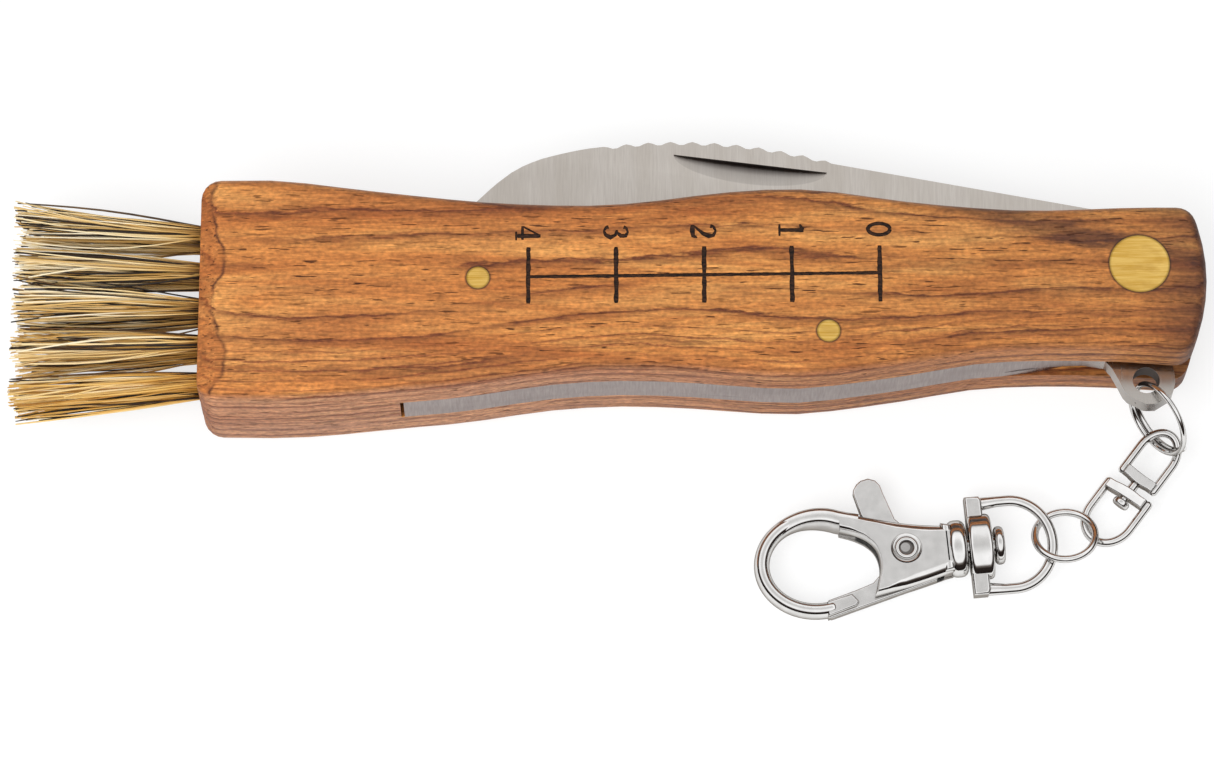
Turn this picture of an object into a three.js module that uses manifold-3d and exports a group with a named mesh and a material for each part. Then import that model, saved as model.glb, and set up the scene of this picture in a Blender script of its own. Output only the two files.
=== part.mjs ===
// A folding mushroom knife with a brush in the butt of its handle, a ruler on its face, and a lanyard
// chain with a swivel clasp on the tab of its back spring. Every piece is a separate solid.
// Millimetres. The knife lies on the rear face of its handle, at z = 0: +X runs from the brush to the
// blade's pivot, +Y to the side where the blade swings out, and +Z to the face that shows.
import * as THREE from 'three';
import { mergeGeometries, mergeVertices } from 'three/addons/utils/BufferGeometryUtils.js';
import Module from 'manifold-3d';

const wasm = await Module();
wasm.setup();

// Handle: one block of hardwood, milled with a slot that leaves a cheek on each side.
const handleLength = 115;
const handleRise = 13.8;
const handleDrop = 13;
const cheekThick = 5.3;
const edgeRound = 1.4;
const cornerRound = 2.3;
const facetWidth = 2.2;
const facetDepth = 1.1;
const noseBulge = 1.8;
const slotInset = 22.9;

// Steel inside the slot.
const linerThick = 1.2;
const springThick = 2.6;
const bladeThick = 2.4;
const seatGap = 0.4;

// Pivot and pins. Insets along X are taken from the end of the handle that is named.
const pivotInset = 7.9;
const pivotRise = 3.2;
const pivotRadius = 2;
const pivotHeadRadius = 3.45;
const pivotHeadDepth = 1.6;
const pinRadius = 1.33;
const rearPinInset = 31.8;
const rearPinRise = 1.5;
const middlePinInset = 71.6;
const middlePinDrop = 4.9;
const runningGap = 0.06;

// Blade, measured from the pivot.
const bladeReach = 79.3;
const bladeRise = 17.35;
const tangRadius = 7;
const bevelWidth = 5.5;
const edgeThick = 0.3;
const crestCount = 11;
const crestPitchShare = 0.0324;
const crestDepth = 0.42;
const nickLength = 18;
const nickWidth = 2.7;
const nickDepth = 0.6;

// Back spring and its lanyard tab.
const padRim = 2.7;
const armDepth = 4;
const bossRim = 1.7;
const tangGap = 0.15;
const tabHoleRadius = 1.55;
const tabHoleInset = 6.9;
const tabHoleDrop = 8.6;
const reliefInset = 18;
const reliefRise = 2.2;

// Brush: two rows of tufts in drilled holes.
const tuftCount = 5;
const tuftPitch = 4.38;
const rowPitch = 4.7;
const strandCount = 32;
const strandRadius = 0.1;
const tuftRadius = 0.84;
const bristleLength = 21.8;
const sliceThick = 1.5;
const rootDepth = 4;
const anchorThick = 0.5;

// Lanyard hardware.
const ringRadius = 4.37;
const ringWire = 0.65;
const ringPitch = 0.72;
const lowerLinkWidth = 6.65;
const lowerLinkLength = 7.7;
const upperLinkWidth = 5.3;
const upperLinkLength = 7.5;
const linkWire = 0.95;
const linkBase = 1.1;
const linkGap = 0.9;
const postRadius = 0.55;
const jumpRadius = 3.45;
const jumpWire = 0.84;

// Swivel clasp, measured from the centre of its rivet.
const claspLift = 2.5;
const collarStart = 4.9;
const collarEnd = 7;
const collarWidth = 6.7;
const collarHeight = 4.8;
const eyeWidth = 11.6;
const eyeEnd = 17.35;
const eyeWire = 1.05;
const eyeBoss = 2.7;
const axleRadius = 1.1;
const axleGap = 0.25;
const hookWidth = 1.85;
const hookHeight = 3.2;
const bodyHeight = 4.2;
const channelHeight = 1.7;
const leverThick = 1.3;
const rivetRadius = 1;
const rivetFlange = 1.8;

// Values that follow from the ones above.
const handleThick = 2 * (cheekThick + linerThick) + springThick;
const slotLow = cheekThick;
const slotHigh = handleThick - cheekThick;
const springLow = slotLow + linerThick;
const springHigh = slotHigh - linerThick;
const middleZ = handleThick / 2;
const bladeLow = middleZ - bladeThick / 2;
const bladeHigh = middleZ + bladeThick / 2;
const buttX = -handleLength / 2;
const noseX = handleLength / 2;
const slotX = buttX + slotInset;
const pivotX = noseX - pivotInset;
const rearPinX = buttX + rearPinInset;
const middlePinX = buttX + middlePinInset;
const tabHoleX = noseX - tabHoleInset;
const overrun = handleThick;

const steel = (name, color, roughness) =>
  new THREE.MeshStandardMaterial({ name, color, roughness, metalness: 1 });
const wood = new THREE.MeshStandardMaterial({ name: 'wood', color: 0xc98a52, roughness: 0.55 });
const brass = new THREE.MeshStandardMaterial({
  name: 'brass', color: 0xd9ad58, roughness: 0.3, metalness: 1,
});
const bristle = new THREE.MeshStandardMaterial({ name: 'bristle', color: 0xb9924f, roughness: 0.8 });
const bladeSteel = steel('blade_steel', 0xc8c6c4, 0.35);
const plateSteel = steel('plate_steel', 0x9b989b, 0.4);
const nickel = steel('nickel', 0xd6d6d8, 0.15);

// Closed geometry to a solid for joining and cutting, and back to a geometry.
function solid(geometry) {
  const bare = geometry.clone();
  bare.deleteAttribute('normal');
  bare.deleteAttribute('uv');
  const merged = mergeVertices(bare);
  const vertProperties = Float32Array.from(merged.attributes.position.array);
  const triVerts = Uint32Array.from(merged.index.array);
  return new wasm.Manifold(new wasm.Mesh({ numProp: 3, vertProperties, triVerts }));
}

function piece(name, material, body) {
  const mesh = body.getMesh();
  const geometry = new THREE.BufferGeometry();
  geometry.setAttribute('position', new THREE.BufferAttribute(mesh.vertProperties, mesh.numProp));
  geometry.setIndex(new THREE.BufferAttribute(mesh.triVerts, 1));
  geometry.computeVertexNormals();
  const made = new THREE.Mesh(geometry, material);
  made.name = name;
  return made;
}

const point = (x, y) => new THREE.Vector2(x, y);

// A flat plate between two heights, with square edges.
function plate(points, low, high) {
  const shape = new THREE.Shape(points);
  const geometry = new THREE.ExtrudeGeometry(shape, { depth: high - low, bevelEnabled: false });
  geometry.translate(0, 0, low);
  return solid(geometry);
}

// The same plate with its edges rounded over.
function roundedPlate(points, low, high, round, bevelSegments) {
  const geometry = new THREE.ExtrudeGeometry(new THREE.Shape(points), {
    depth: high - low - 2 * round,
    bevelThickness: round,
    bevelSize: round,
    bevelOffset: -round,
    bevelSegments,
  });
  geometry.translate(0, 0, low + round);
  return solid(geometry);
}

function block(low, high) {
  const size = high.clone().sub(low);
  const geometry = new THREE.BoxGeometry(size.x, size.y, size.z);
  const middle = low.clone().add(high).multiplyScalar(0.5);
  geometry.translate(middle.x, middle.y, middle.z);
  return solid(geometry);
}

function rodAlongZ(x, y, low, high, radius, sides) {
  const geometry = new THREE.CylinderGeometry(radius, radius, high - low, sides);
  geometry.rotateX(Math.PI / 2);
  geometry.translate(x, y, (low + high) / 2);
  return solid(geometry);
}

function rodAlongX(start, end, y, z, radius, sides) {
  const geometry = new THREE.CylinderGeometry(radius, radius, end - start, sides);
  geometry.rotateZ(Math.PI / 2);
  geometry.translate((start + end) / 2, y, z);
  return solid(geometry);
}

// A turned piece: the profile's points are (radius, height), from the axis back to the axis.
function turned(profile, sides) {
  const geometry = new THREE.LatheGeometry(profile.map(([r, h]) => point(r, h)), sides);
  geometry.rotateX(Math.PI / 2);
  return geometry;
}

// A wire of oval section along a path in a plane of constant z.
function wire(path, acrossPlane, inPlane, steps, sides) {
  const section = new THREE.Shape();
  section.absellipse(0, 0, acrossPlane / 2, inPlane / 2, 0, 2 * Math.PI, false, 0);
  return solid(new THREE.ExtrudeGeometry(section, {
    steps,
    curveSegments: sides,
    extrudePath: path,
  }));
}

// A rounded loop that starts and ends on its base bar, opening along +X.
function bowPath(legStart, bendStart, end, half, bends) {
  const points = [new THREE.Vector3(legStart, -half, 0)];
  for (let i = 0; i <= bends; i += 1) {
    const angle = (i / bends - 0.5) * Math.PI;
    const x = bendStart + (end - bendStart) * Math.cos(angle);
    points.push(new THREE.Vector3(x, half * Math.sin(angle), 0));
  }
  points.push(new THREE.Vector3(legStart, half, 0));
  return new THREE.CatmullRomCurve3(points, false, 'centripetal');
}

// Handle outline. Each pair is a share of the handle's length from the butt, and a share of its
// greatest rise or drop from the line that the length is measured on.
const topEdgeShares = [
  [0.034, 0.995], [0.065, 1], [0.1, 0.978], [0.14, 0.935], [0.19, 0.884], [0.27, 0.812],
  [0.33, 0.782], [0.39, 0.775], [0.44, 0.804], [0.5, 0.87], [0.545, 0.908], [0.585, 0.92],
  [0.625, 0.902], [0.7, 0.812], [0.76, 0.761], [0.82, 0.73], [0.87, 0.739], [0.93, 0.757],
  [0.985, 0.757],
];
const bottomEdgeShares = [
  [0.034, 0.99], [0.068, 0.996], [0.115, 0.981], [0.16, 0.942], [0.2, 0.904], [0.26, 0.854],
  [0.32, 0.773], [0.365, 0.723], [0.42, 0.7], [0.48, 0.715], [0.54, 0.754], [0.58, 0.773],
  [0.62, 0.754], [0.7, 0.654], [0.76, 0.558], [0.8, 0.523], [0.85, 0.512], [0.91, 0.523],
  [0.98, 0.565],
];
const edgeSteps = 27;
const cornerSteps = 5;
const noseSteps = 8;

function edge(shares, height) {
  const along = shares.map(([share, level]) => point(buttX + share * handleLength, level * height));
  return new THREE.SplineCurve(along).getSpacedPoints(edgeSteps);
}

// An arc that rounds the corner between two neighbouring points.
function roundedCorner(before, corner, after) {
  const back = before.clone().sub(corner).normalize();
  const ahead = after.clone().sub(corner).normalize();
  const half = Math.acos(back.dot(ahead)) / 2;
  const bisector = back.clone().add(ahead).normalize();
  const centre = corner.clone().addScaledVector(bisector, cornerRound / Math.sin(half));
  const start = corner.clone().addScaledVector(back, cornerRound / Math.tan(half)).sub(centre);
  const turn = (Math.PI - 2 * half) * Math.sign(back.cross(ahead));
  const points = [];
  for (let i = 0; i <= cornerSteps; i += 1) {
    points.push(start.clone().rotateAround(point(0, 0), (-turn * i) / cornerSteps).add(centre));
  }
  return points;
}

function handleOutline() {
  const top = edge(topEdgeShares, handleRise);
  const bottom = edge(bottomEdgeShares, -handleDrop);
  const noseTop = top[top.length - 1];
  const noseBottom = bottom[bottom.length - 1];
  const bulge = point(noseX + noseBulge * 0.93, (noseTop.y + noseBottom.y) / 2);
  const nose = new THREE.QuadraticBezierCurve(noseTop, bulge, noseBottom).getPoints(noseSteps);
  const lowCorner = point(buttX, bottom[0].y);
  const highCorner = point(buttX, top[0].y);
  return [
    ...roundedCorner(highCorner, lowCorner, bottom[1]),
    ...bottom.slice(1, -1),
    ...roundedCorner(bottom[bottom.length - 2], noseBottom, nose[noseSteps - 1]),
    ...nose.slice(1, -1).reverse(),
    ...roundedCorner(nose[1], noseTop, top[top.length - 2]),
    ...top.slice(1, -1).reverse(),
    ...roundedCorner(top[1], highCorner, lowCorner),
  ];
}

const outline = handleOutline();
const pinSides = 24;
const pivotSides = 32;
const tuftSides = 12;

// Where the tufts stand, for both rows.
function tuftPlaces(row) {
  const z = middleZ + (row * rowPitch) / 2;
  const places = [];
  for (let i = 0; i < tuftCount; i += 1) {
    places.push({ y: (i - (tuftCount - 1) / 2) * tuftPitch, z });
  }
  return places;
}

function brushSlice(row) {
  const z = middleZ + (row * rowPitch) / 2;
  const halfWidth = (tuftCount * tuftPitch) / 2;
  const halfHeight = rowPitch * 0.45;
  return block(
    new THREE.Vector3(buttX, -halfWidth, z - halfHeight),
    new THREE.Vector3(buttX + sliceThick, halfWidth, z + halfHeight),
  );
}

function tuftRoot(place) {
  const start = buttX + sliceThick / 2;
  const end = buttX + sliceThick + rootDepth;
  return rodAlongX(start, end, place.y, place.z, tuftRadius * 1.15, tuftSides);
}

function anchorBlock(place) {
  const start = buttX + sliceThick + rootDepth;
  const half = tuftRadius * 0.9;
  return block(
    new THREE.Vector3(start, place.y - half, place.z - anchorThick / 2),
    new THREE.Vector3(start + 2 * half, place.y + half, place.z + anchorThick / 2),
  );
}

// The pivot rivet is turned with a flush head at each end; it fills its counterbores.
function pivotRivet() {
  const profile = [
    [0, 0], [pivotHeadRadius, 0], [pivotHeadRadius, pivotHeadDepth], [pivotRadius, pivotHeadDepth],
    [pivotRadius, handleThick - pivotHeadDepth], [pivotHeadRadius, handleThick - pivotHeadDepth],
    [pivotHeadRadius, handleThick], [0, handleThick],
  ];
  const geometry = turned(profile, pivotSides);
  geometry.translate(pivotX, pivotRise, 0);
  return solid(geometry);
}

const rearPin = () => rodAlongZ(rearPinX, rearPinRise, 0, handleThick, pinRadius, pinSides);
const middlePin = () => rodAlongZ(middlePinX, -middlePinDrop, 0, handleThick, pinRadius, pinSides);

// The wedge of waste that a rasp takes off one edge of the butt; side is 1 at the front, -1 at the rear.
function facetWaste(side) {
  const face = middleZ + (side * handleThick) / 2;
  const ring = (y) => [
    new THREE.Vector3(buttX - facetWidth, y, face - 2 * side * facetDepth),
    new THREE.Vector3(buttX + 2 * facetWidth, y, face + side * facetDepth),
    new THREE.Vector3(buttX - facetWidth, y, face + side * facetDepth),
  ];
  const rings = [ring(-handleDrop - overrun), ring(handleRise + overrun)];
  return solid(loft(side > 0 ? rings.reverse() : rings));
}

function handleBlock() {
  const blank = roundedPlate(outline, 0, handleThick, edgeRound, 4)
    .subtract(facetWaste(1)).subtract(facetWaste(-1));
  const slot = block(
    new THREE.Vector3(slotX, -handleDrop - overrun, slotLow),
    new THREE.Vector3(noseX + overrun, handleRise + overrun, slotHigh),
  );
  let made = blank.subtract(slot).subtract(pivotRivet()).subtract(rearPin()).subtract(middlePin());
  for (const row of [-1, 1]) {
    made = made.subtract(brushSlice(row));
    for (const place of tuftPlaces(row)) {
      made = made.subtract(tuftRoot(place)).subtract(anchorBlock(place));
    }
  }
  return made;
}

// Where the steel leaves the handle's lower edge on its way to the lanyard tab.
const tailShare = bottomEdgeShares[15];
const tailStart = point(buttX + tailShare[0] * handleLength, -tailShare[1] * handleDrop);

// A liner is cut flush with the handle all round, and swept up clear of the lanyard tab.
function liner(low, high) {
  const sheet = plate(outline, low, high);
  const keep = block(
    new THREE.Vector3(slotX + seatGap, -handleDrop - overrun, low - overrun),
    new THREE.Vector3(noseX + overrun, handleRise + overrun, high + overrun),
  );
  const floor = -handleDrop - overrun;
  const reliefTop = tailStart.y + reliefRise;
  const sweep = new THREE.QuadraticBezierCurve(
    tailStart,
    point(noseX - reliefInset, tailStart.y + reliefRise * 0.2),
    point(noseX - reliefInset + 2.5 * reliefRise, reliefTop),
  ).getPoints(8);
  const relief = plate([
    point(tailStart.x, floor),
    ...sweep,
    point(noseX + overrun, reliefTop),
    point(noseX + overrun, floor),
  ], low - overrun, high + overrun);
  return sheet.intersect(keep).subtract(relief)
    .subtract(pivotRivet()).subtract(rearPin()).subtract(middlePin());
}

// Lanyard tab, as seen from the front: shares of its width and depth from the hole's centre.
const tabHalf = 3.3;
const tabDepth = 2.85;
const tabShares = [
  [-2.1, 0.93], [-1.4, 0.79], [-1.17, 0.5], [-0.95, 0], [-0.77, -0.45], [-0.62, -0.66],
  [-0.36, -0.81], [-0.05, -1], [0.33, -1], [0.52, -0.86], [0.83, -0.63], [0.93, -0.45],
  [1, -0.1], [0.98, 0.35], [0.9, 0.8],
];

// The back spring: a pad that the rear pin holds, a bending arm, a boss on the middle pin, and a tail
// under the tang that turns down into the tab.
function backSpring() {
  const left = slotX + seatGap;
  const underTang = pivotRise - tangRadius - tangGap;
  const floor = -handleDrop - overrun;
  const shoulder = -tabHoleDrop + tabShares[0][1] * tabDepth;
  const tab = tabShares.map(([x, y]) => point(tabHoleX + x * tabHalf, -tabHoleDrop + y * tabDepth));
  const armTop = -handleDrop * bottomEdgeShares[8][1] + armDepth;
  const tail = new THREE.QuadraticBezierCurve(
    tailStart,
    point((tailStart.x + tab[0].x) / 2, shoulder),
    tab[0],
  ).getPoints(6);
  const top = new THREE.SplineCurve([
    point(left, rearPinRise + padRim),
    point(rearPinX - 2 * pinRadius, rearPinRise + padRim),
    point(rearPinX + 2 * pinRadius, rearPinRise + padRim * 0.8),
    point(rearPinX + 6 * pinRadius, armTop + armDepth * 0.5),
    point((rearPinX + middlePinX) / 2 - 2 * pinRadius, armTop),
    point(middlePinX - 5 * pinRadius, armTop),
    point(middlePinX, -middlePinDrop + pinRadius + bossRim),
    point(middlePinX + 5 * pinRadius, armTop + armDepth * 0.12),
    point(pivotX - 2.2 * tangRadius, underTang - tangGap),
    point(pivotX - tangRadius, underTang),
    point(pivotX + tangGap, underTang),
  ]).getPoints(44);
  const arm = plate([
    point(left, floor),
    point(tailStart.x, floor),
    ...tail,
    point(tabHoleX - tabHalf, shoulder),
    point(tabHoleX + tabShares[14][0] * tabHalf, shoulder + tangGap),
    ...top.reverse(),
  ], springLow, springHigh);
  const hole = rodAlongZ(tabHoleX, -tabHoleDrop, 0, handleThick, tabHoleRadius, pinSides);
  const rooted = [
    point(pivotX - tangRadius, shoulder + tangGap),
    ...tab,
    point(tabHoleX + tabShares[14][0] * tabHalf, shoulder + tangGap),
  ];
  return arm.intersect(plate(outline, springLow, springHigh))
    .add(plate(rooted, springLow, springHigh))
    .subtract(hole).subtract(rearPin()).subtract(middlePin());
}

// Blade outline at rest, relative to the pivot: shares of the reach and of the rise.
const frontShares = [
  [-1, 0.311], [-0.993, 0.42], [-0.961, 0.559], [-0.909, 0.772], [-0.87, 0.87], [-0.832, 0.922],
  [-0.797, 0.957], [-0.769, 0.974],
];
const spineShares = [[-0.436, 0.853], [-0.0416, 0.513]];
const cuttingShares = [
  [-1, 0.311], [-0.965, 0.345], [-0.9, 0.352], [-0.78, 0.31], [-0.6, 0.175], [-0.42, 0.015],
  [-0.3, -0.085], [-0.215, -0.16],
];
const crestSteps = 5;

// Points round the tang from the step under the spine to the start of the ricasso.
function tangArc(from, to, steps) {
  const points = [];
  for (let i = 0; i <= steps; i += 1) {
    const angle = from + ((to - from) * i) / steps;
    points.push(point(tangRadius * Math.cos(angle), tangRadius * Math.sin(angle)));
  }
  return points;
}

// The scalloped thumb grip along the crown of the spine: a shallow arc with a dip between crests.
function crestPoints(start, end) {
  const chord = end.clone().sub(start);
  const sag = bladeRise * 0.077;
  const points = [];
  const steps = (crestCount - 1) * crestSteps;
  for (let i = 0; i <= steps; i += 1) {
    const share = i / steps;
    const arch = 4 * sag * share * (1 - share);
    const dip = (crestDepth / 2) * (1 - Math.cos((2 * Math.PI * i) / crestSteps));
    points.push(point(start.x + share * chord.x, start.y + share * chord.y + arch - dip));
  }
  return points;
}

function bladeOutline() {
  const place = ([x, y]) => point(x * bladeReach, y * bladeRise);
  const front = new THREE.SplineCurve(frontShares.map(place)).getPoints(18);
  const cutting = new THREE.SplineCurve(cuttingShares.map(place)).getPoints(30);
  const crestStart = front[front.length - 1];
  const crestEnd = point(crestStart.x + (crestCount - 1) * crestPitchShare * bladeReach, bladeRise * 0.875);
  const step = (104 * Math.PI) / 180;
  const ricasso = (-148 * Math.PI) / 180;
  return {
    cutting,
    rim: [
      ...front,
      ...crestPoints(crestStart, crestEnd).slice(1),
      ...spineShares.map(place),
      ...tangArc(step, ricasso, 28),
      ...cutting.slice(1).reverse(),
    ],
  };
}

// A closed body through rings of equal count, each ring in order round its section.
function loft(rings) {
  const count = rings[0].length;
  const positions = rings.flat().flatMap((corner) => corner.toArray());
  const index = [];
  for (let i = 0; i + 1 < rings.length; i += 1) {
    for (let j = 0; j < count; j += 1) {
      const a = i * count + j;
      const b = i * count + ((j + 1) % count);
      index.push(a, b, a + count, b, b + count, a + count);
    }
  }
  const last = (rings.length - 1) * count;
  for (let j = 1; j + 1 < count; j += 1) {
    index.push(0, j + 1, j, last, last + j, last + j + 1);
  }
  const geometry = new THREE.BufferGeometry();
  geometry.setAttribute('position', new THREE.Float32BufferAttribute(positions, 3));
  geometry.setIndex(index);
  return geometry;
}

// The waste that grinding takes off one face along the cutting edge; side is 1 on top, -1 below.
function grindingWaste(cutting, side) {
  const beyond = cutting[0].clone().multiplyScalar(2).sub(cutting[2]);
  const line = [beyond, ...cutting];
  const rings = line.map((here, i) => {
    const before = line[Math.max(i - 1, 0)];
    const after = line[Math.min(i + 1, line.length - 1)];
    const run = after.clone().sub(before).normalize();
    const inward = point(-run.y, run.x);
    const slope = (bladeThick - edgeThick) / 2 / bevelWidth;
    const outside = bevelWidth * 0.25;
    const corner = (reach, level) => new THREE.Vector3(
      here.x + inward.x * reach,
      here.y + inward.y * reach,
      middleZ + side * level,
    );
    return [
      corner(-outside, edgeThick / 2 - outside * slope),
      corner(bevelWidth, bladeThick / 2),
      corner(bevelWidth, bladeThick),
      corner(-outside, bladeThick),
    ];
  });
  return solid(loft(side > 0 ? rings : rings.reverse()));
}

// A half-moon nick for the thumbnail, sunk in the front face: a straight steep wall on the spine side
// and a hollow slope below it. Each pair is a share of the nick's width and of its depth.
const nickSectionShares = [[0, 1], [0.2, 0.58], [0.5, 0.25], [1, 0]];
const nickStations = 24;

function nailNick() {
  const rings = [];
  for (let i = 1; i < nickStations; i += 1) {
    const angle = (Math.PI * i) / nickStations;
    const size = Math.sin(angle);
    const x = (-Math.cos(angle) * nickLength) / 2;
    const slope = nickSectionShares.map(
      ([across, deep]) => new THREE.Vector3(x, -across * size * nickWidth, -deep * size * nickDepth),
    );
    rings.push([
      new THREE.Vector3(x, 0, nickDepth),
      ...slope,
      new THREE.Vector3(x, -size * nickWidth, nickDepth),
    ]);
  }
  const lean = -7.2;
  const run = -0.555 * bladeReach;
  const rise = 0.853 * bladeRise;
  return solid(loft(rings.reverse())).rotate([0, 0, lean]).translate([run, rise, bladeHigh]);
}

function blade() {
  const { rim, cutting } = bladeOutline();
  const bore = rodAlongZ(0, 0, 0, handleThick, pivotRadius + runningGap, pivotSides);
  return plate(rim, bladeLow, bladeHigh)
    .subtract(grindingWaste(cutting, 1))
    .subtract(grindingWaste(cutting, -1))
    .subtract(nailNick())
    .subtract(bore)
    .translate([pivotX, pivotRise, 0]);
}

// One bristle from its root to its tip: three sided, spreading outwards from the hole.
const goldenAngle = Math.PI * (3 - Math.sqrt(5));
const tipSpreadShare = 2.75;
const rowFanShare = 1.24;
const heightFanShare = 1.3;

function strand(place, count) {
  const turn = count * goldenAngle;
  const radius = (tuftRadius - strandRadius) * Math.sqrt((count + 0.5) / strandCount);
  const away = point(radius * Math.cos(turn), radius * Math.sin(turn));
  const reach = bristleLength * (1 - 0.045 * (1 + Math.sin(count * 1.7 + (place.z + place.y) / tuftRadius)));
  const ring = (x, spread, rowShare, heightShare, thick) => {
    const y = place.y * rowShare + away.x * spread;
    const z = middleZ + (place.z - middleZ) * heightShare + away.y * spread;
    return [0, 1, 2].map((corner) => {
      const angle = turn + (corner * 2 * Math.PI) / 3;
      return new THREE.Vector3(x, y + thick * Math.cos(angle), z + thick * Math.sin(angle));
    });
  };
  return loft([
    ring(buttX - reach, tipSpreadShare, rowFanShare, heightFanShare, strandRadius * 0.8),
    ring(buttX + sliceThick / 2, 1, 1, 1, strandRadius * 1.1),
  ]);
}

function bristleRow(row) {
  const strands = [];
  for (const place of tuftPlaces(row)) {
    for (let count = 0; count < strandCount; count += 1) {
      strands.push(strand(place, count));
    }
  }
  let made = solid(mergeGeometries(strands)).add(brushSlice(row));
  for (const place of tuftPlaces(row)) {
    made = made.add(tuftRoot(place));
  }
  return made;
}

// Split ring: one wire wound a turn and a half, double where it closes.
const ringTurnCount = 1.5;
const ringStartAngle = (-8 * Math.PI) / 180;

class RingPath extends THREE.Curve {
  getPoint(share, target = new THREE.Vector3()) {
    const angle = ringStartAngle + share * ringTurnCount * 2 * Math.PI;
    const height = (0.5 - share) * ringTurnCount * ringPitch;
    return target.set(ringRadius * Math.cos(angle), ringRadius * Math.sin(angle), height);
  }
}

const splitRing = () => wire(new RingPath(), ringWire, ringWire, 60, 3);

// A swivel link: a bowed wire on a flat base strap, opening along +X from the strap's outer face.
const strapHeight = 1.9;
const linkBossRadius = 1.25;
const linkBends = 16;

function swivelLink(width, length) {
  const path = bowPath(linkBase / 2, length * 0.53, length - linkWire / 2, (width - linkWire) / 2, linkBends);
  const strap = block(
    new THREE.Vector3(0, -width / 2, -strapHeight / 2),
    new THREE.Vector3(linkBase, width / 2, strapHeight / 2),
  );
  const boss = rodAlongX(0, linkBase * 1.15, 0, 0, linkBossRadius, pinSides);
  return wire(path, linkWire, linkWire, 30, 4).add(strap).add(boss);
}

const headThick = 0.85;
const headRadius = 1;
const headGap = 0.25;

// The upper link carries the swivel's post, riveted over inside the lower link.
function upperLink() {
  const headStart = -(linkGap + linkBase * 1.15 + headGap);
  const post = rodAlongX(headStart - headThick / 2, linkBase / 2, 0, 0, postRadius, tuftSides);
  const head = rodAlongX(headStart - headThick, headStart, 0, 0, headRadius, pinSides);
  return swivelLink(upperLinkWidth, upperLinkLength).add(post).add(head);
}

function lowerLink() {
  const bore = rodAlongX(-linkBase, 2 * linkBase, 0, 0, postRadius + 2 * runningGap, tuftSides);
  return swivelLink(lowerLinkWidth, lowerLinkLength).subtract(bore);
}

const jumpRing = () => solid(new THREE.TorusGeometry(jumpRadius, jumpWire / 2, 8, 36));

// Clasp eye: a bow on a thick boss that turns on the clasp's axle.
const eyeStart = collarEnd + axleGap;
const eyeBossHalf = 3.85;
const eyeBends = 18;

function claspEye() {
  const half = (eyeWidth - eyeWire) / 2;
  const end = eyeEnd - eyeWire / 2;
  const bendStart = eyeStart + (eyeEnd - eyeStart) * 0.47;
  const path = bowPath(eyeStart + eyeWire, bendStart, end, half, eyeBends);
  const bow = wire(path, eyeWire * 1.1, eyeWire, 36, 4);
  const strap = block(
    new THREE.Vector3(eyeStart, -eyeWidth / 2, -eyeWire),
    new THREE.Vector3(eyeStart + eyeBoss * 0.7, eyeWidth / 2, eyeWire),
  );
  const bore = rodAlongX(0, eyeEnd / 1.5, 0, 0, axleRadius + axleGap / 2, pinSides);
  return bow.add(strap).add(flange(eyeStart, eyeStart + eyeBoss, eyeBossHalf)).subtract(bore);
}

// An oval flange round the clasp's axis, with its rim rounded.
function flange(start, end, half) {
  const rim = (end - start) * 0.28;
  const geometry = new THREE.LatheGeometry([
    point(0, start), point(half - rim, start), point(half - rim * 0.3, start + rim * 0.3),
    point(half, start + rim), point(half, end - rim), point(half - rim * 0.3, end - rim * 0.3),
    point(half - rim, end), point(0, end),
  ], 32);
  geometry.rotateZ(-Math.PI / 2);
  geometry.scale(1, 1, collarHeight / 2 / half);
  return solid(geometry);
}

// Clasp body: a hook that grows out of two side plates, with a collar and an axle at the other end.
const hookCentreX = -10.3;
const hookCentreY = -0.54;
const hookReach = 6.25;
const hookRise = 5.5;
const hookTipAngle = (288 * Math.PI) / 180;
const hookRootAngle = (64 * Math.PI) / 180;
const bodyEdgeRound = 0.5;
const plateReach = 7.3;
const plateRise = 5;
const plateRimShares = [
  [-1, 1], [-0.69, 0.9], [-0.24, 0.72], [0.14, 0.6], [0.52, 0.52], [0.7, 0.49], [0.7, -0.6],
  [0.39, -0.73], [0.04, -0.86], [-0.2, -0.93], [-0.556, -1.035], [-0.5, -0.76], [-0.434, -0.41],
  [-0.433, -0.12], [-0.49, 0.124], [-0.614, 0.318], [-0.797, 0.47], [-1.005, 0.58],
];

// The gate swings past the hook's tip on an arc about the rivet.
const gateReach = 10.85;
const gateGap = 0.2;

function hookPath() {
  const points = [];
  const steps = 20;
  for (let i = 0; i <= steps; i += 1) {
    const angle = hookTipAngle + ((hookRootAngle - hookTipAngle) * i) / steps;
    const x = hookCentreX + hookReach * Math.cos(angle);
    points.push(new THREE.Vector3(x, hookCentreY + hookRise * Math.sin(angle), 0));
  }
  points.push(new THREE.Vector3(-plateReach * 0.9, plateRise * 0.8, 0));
  return new THREE.CatmullRomCurve3(points, false, 'centripetal');
}

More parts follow.
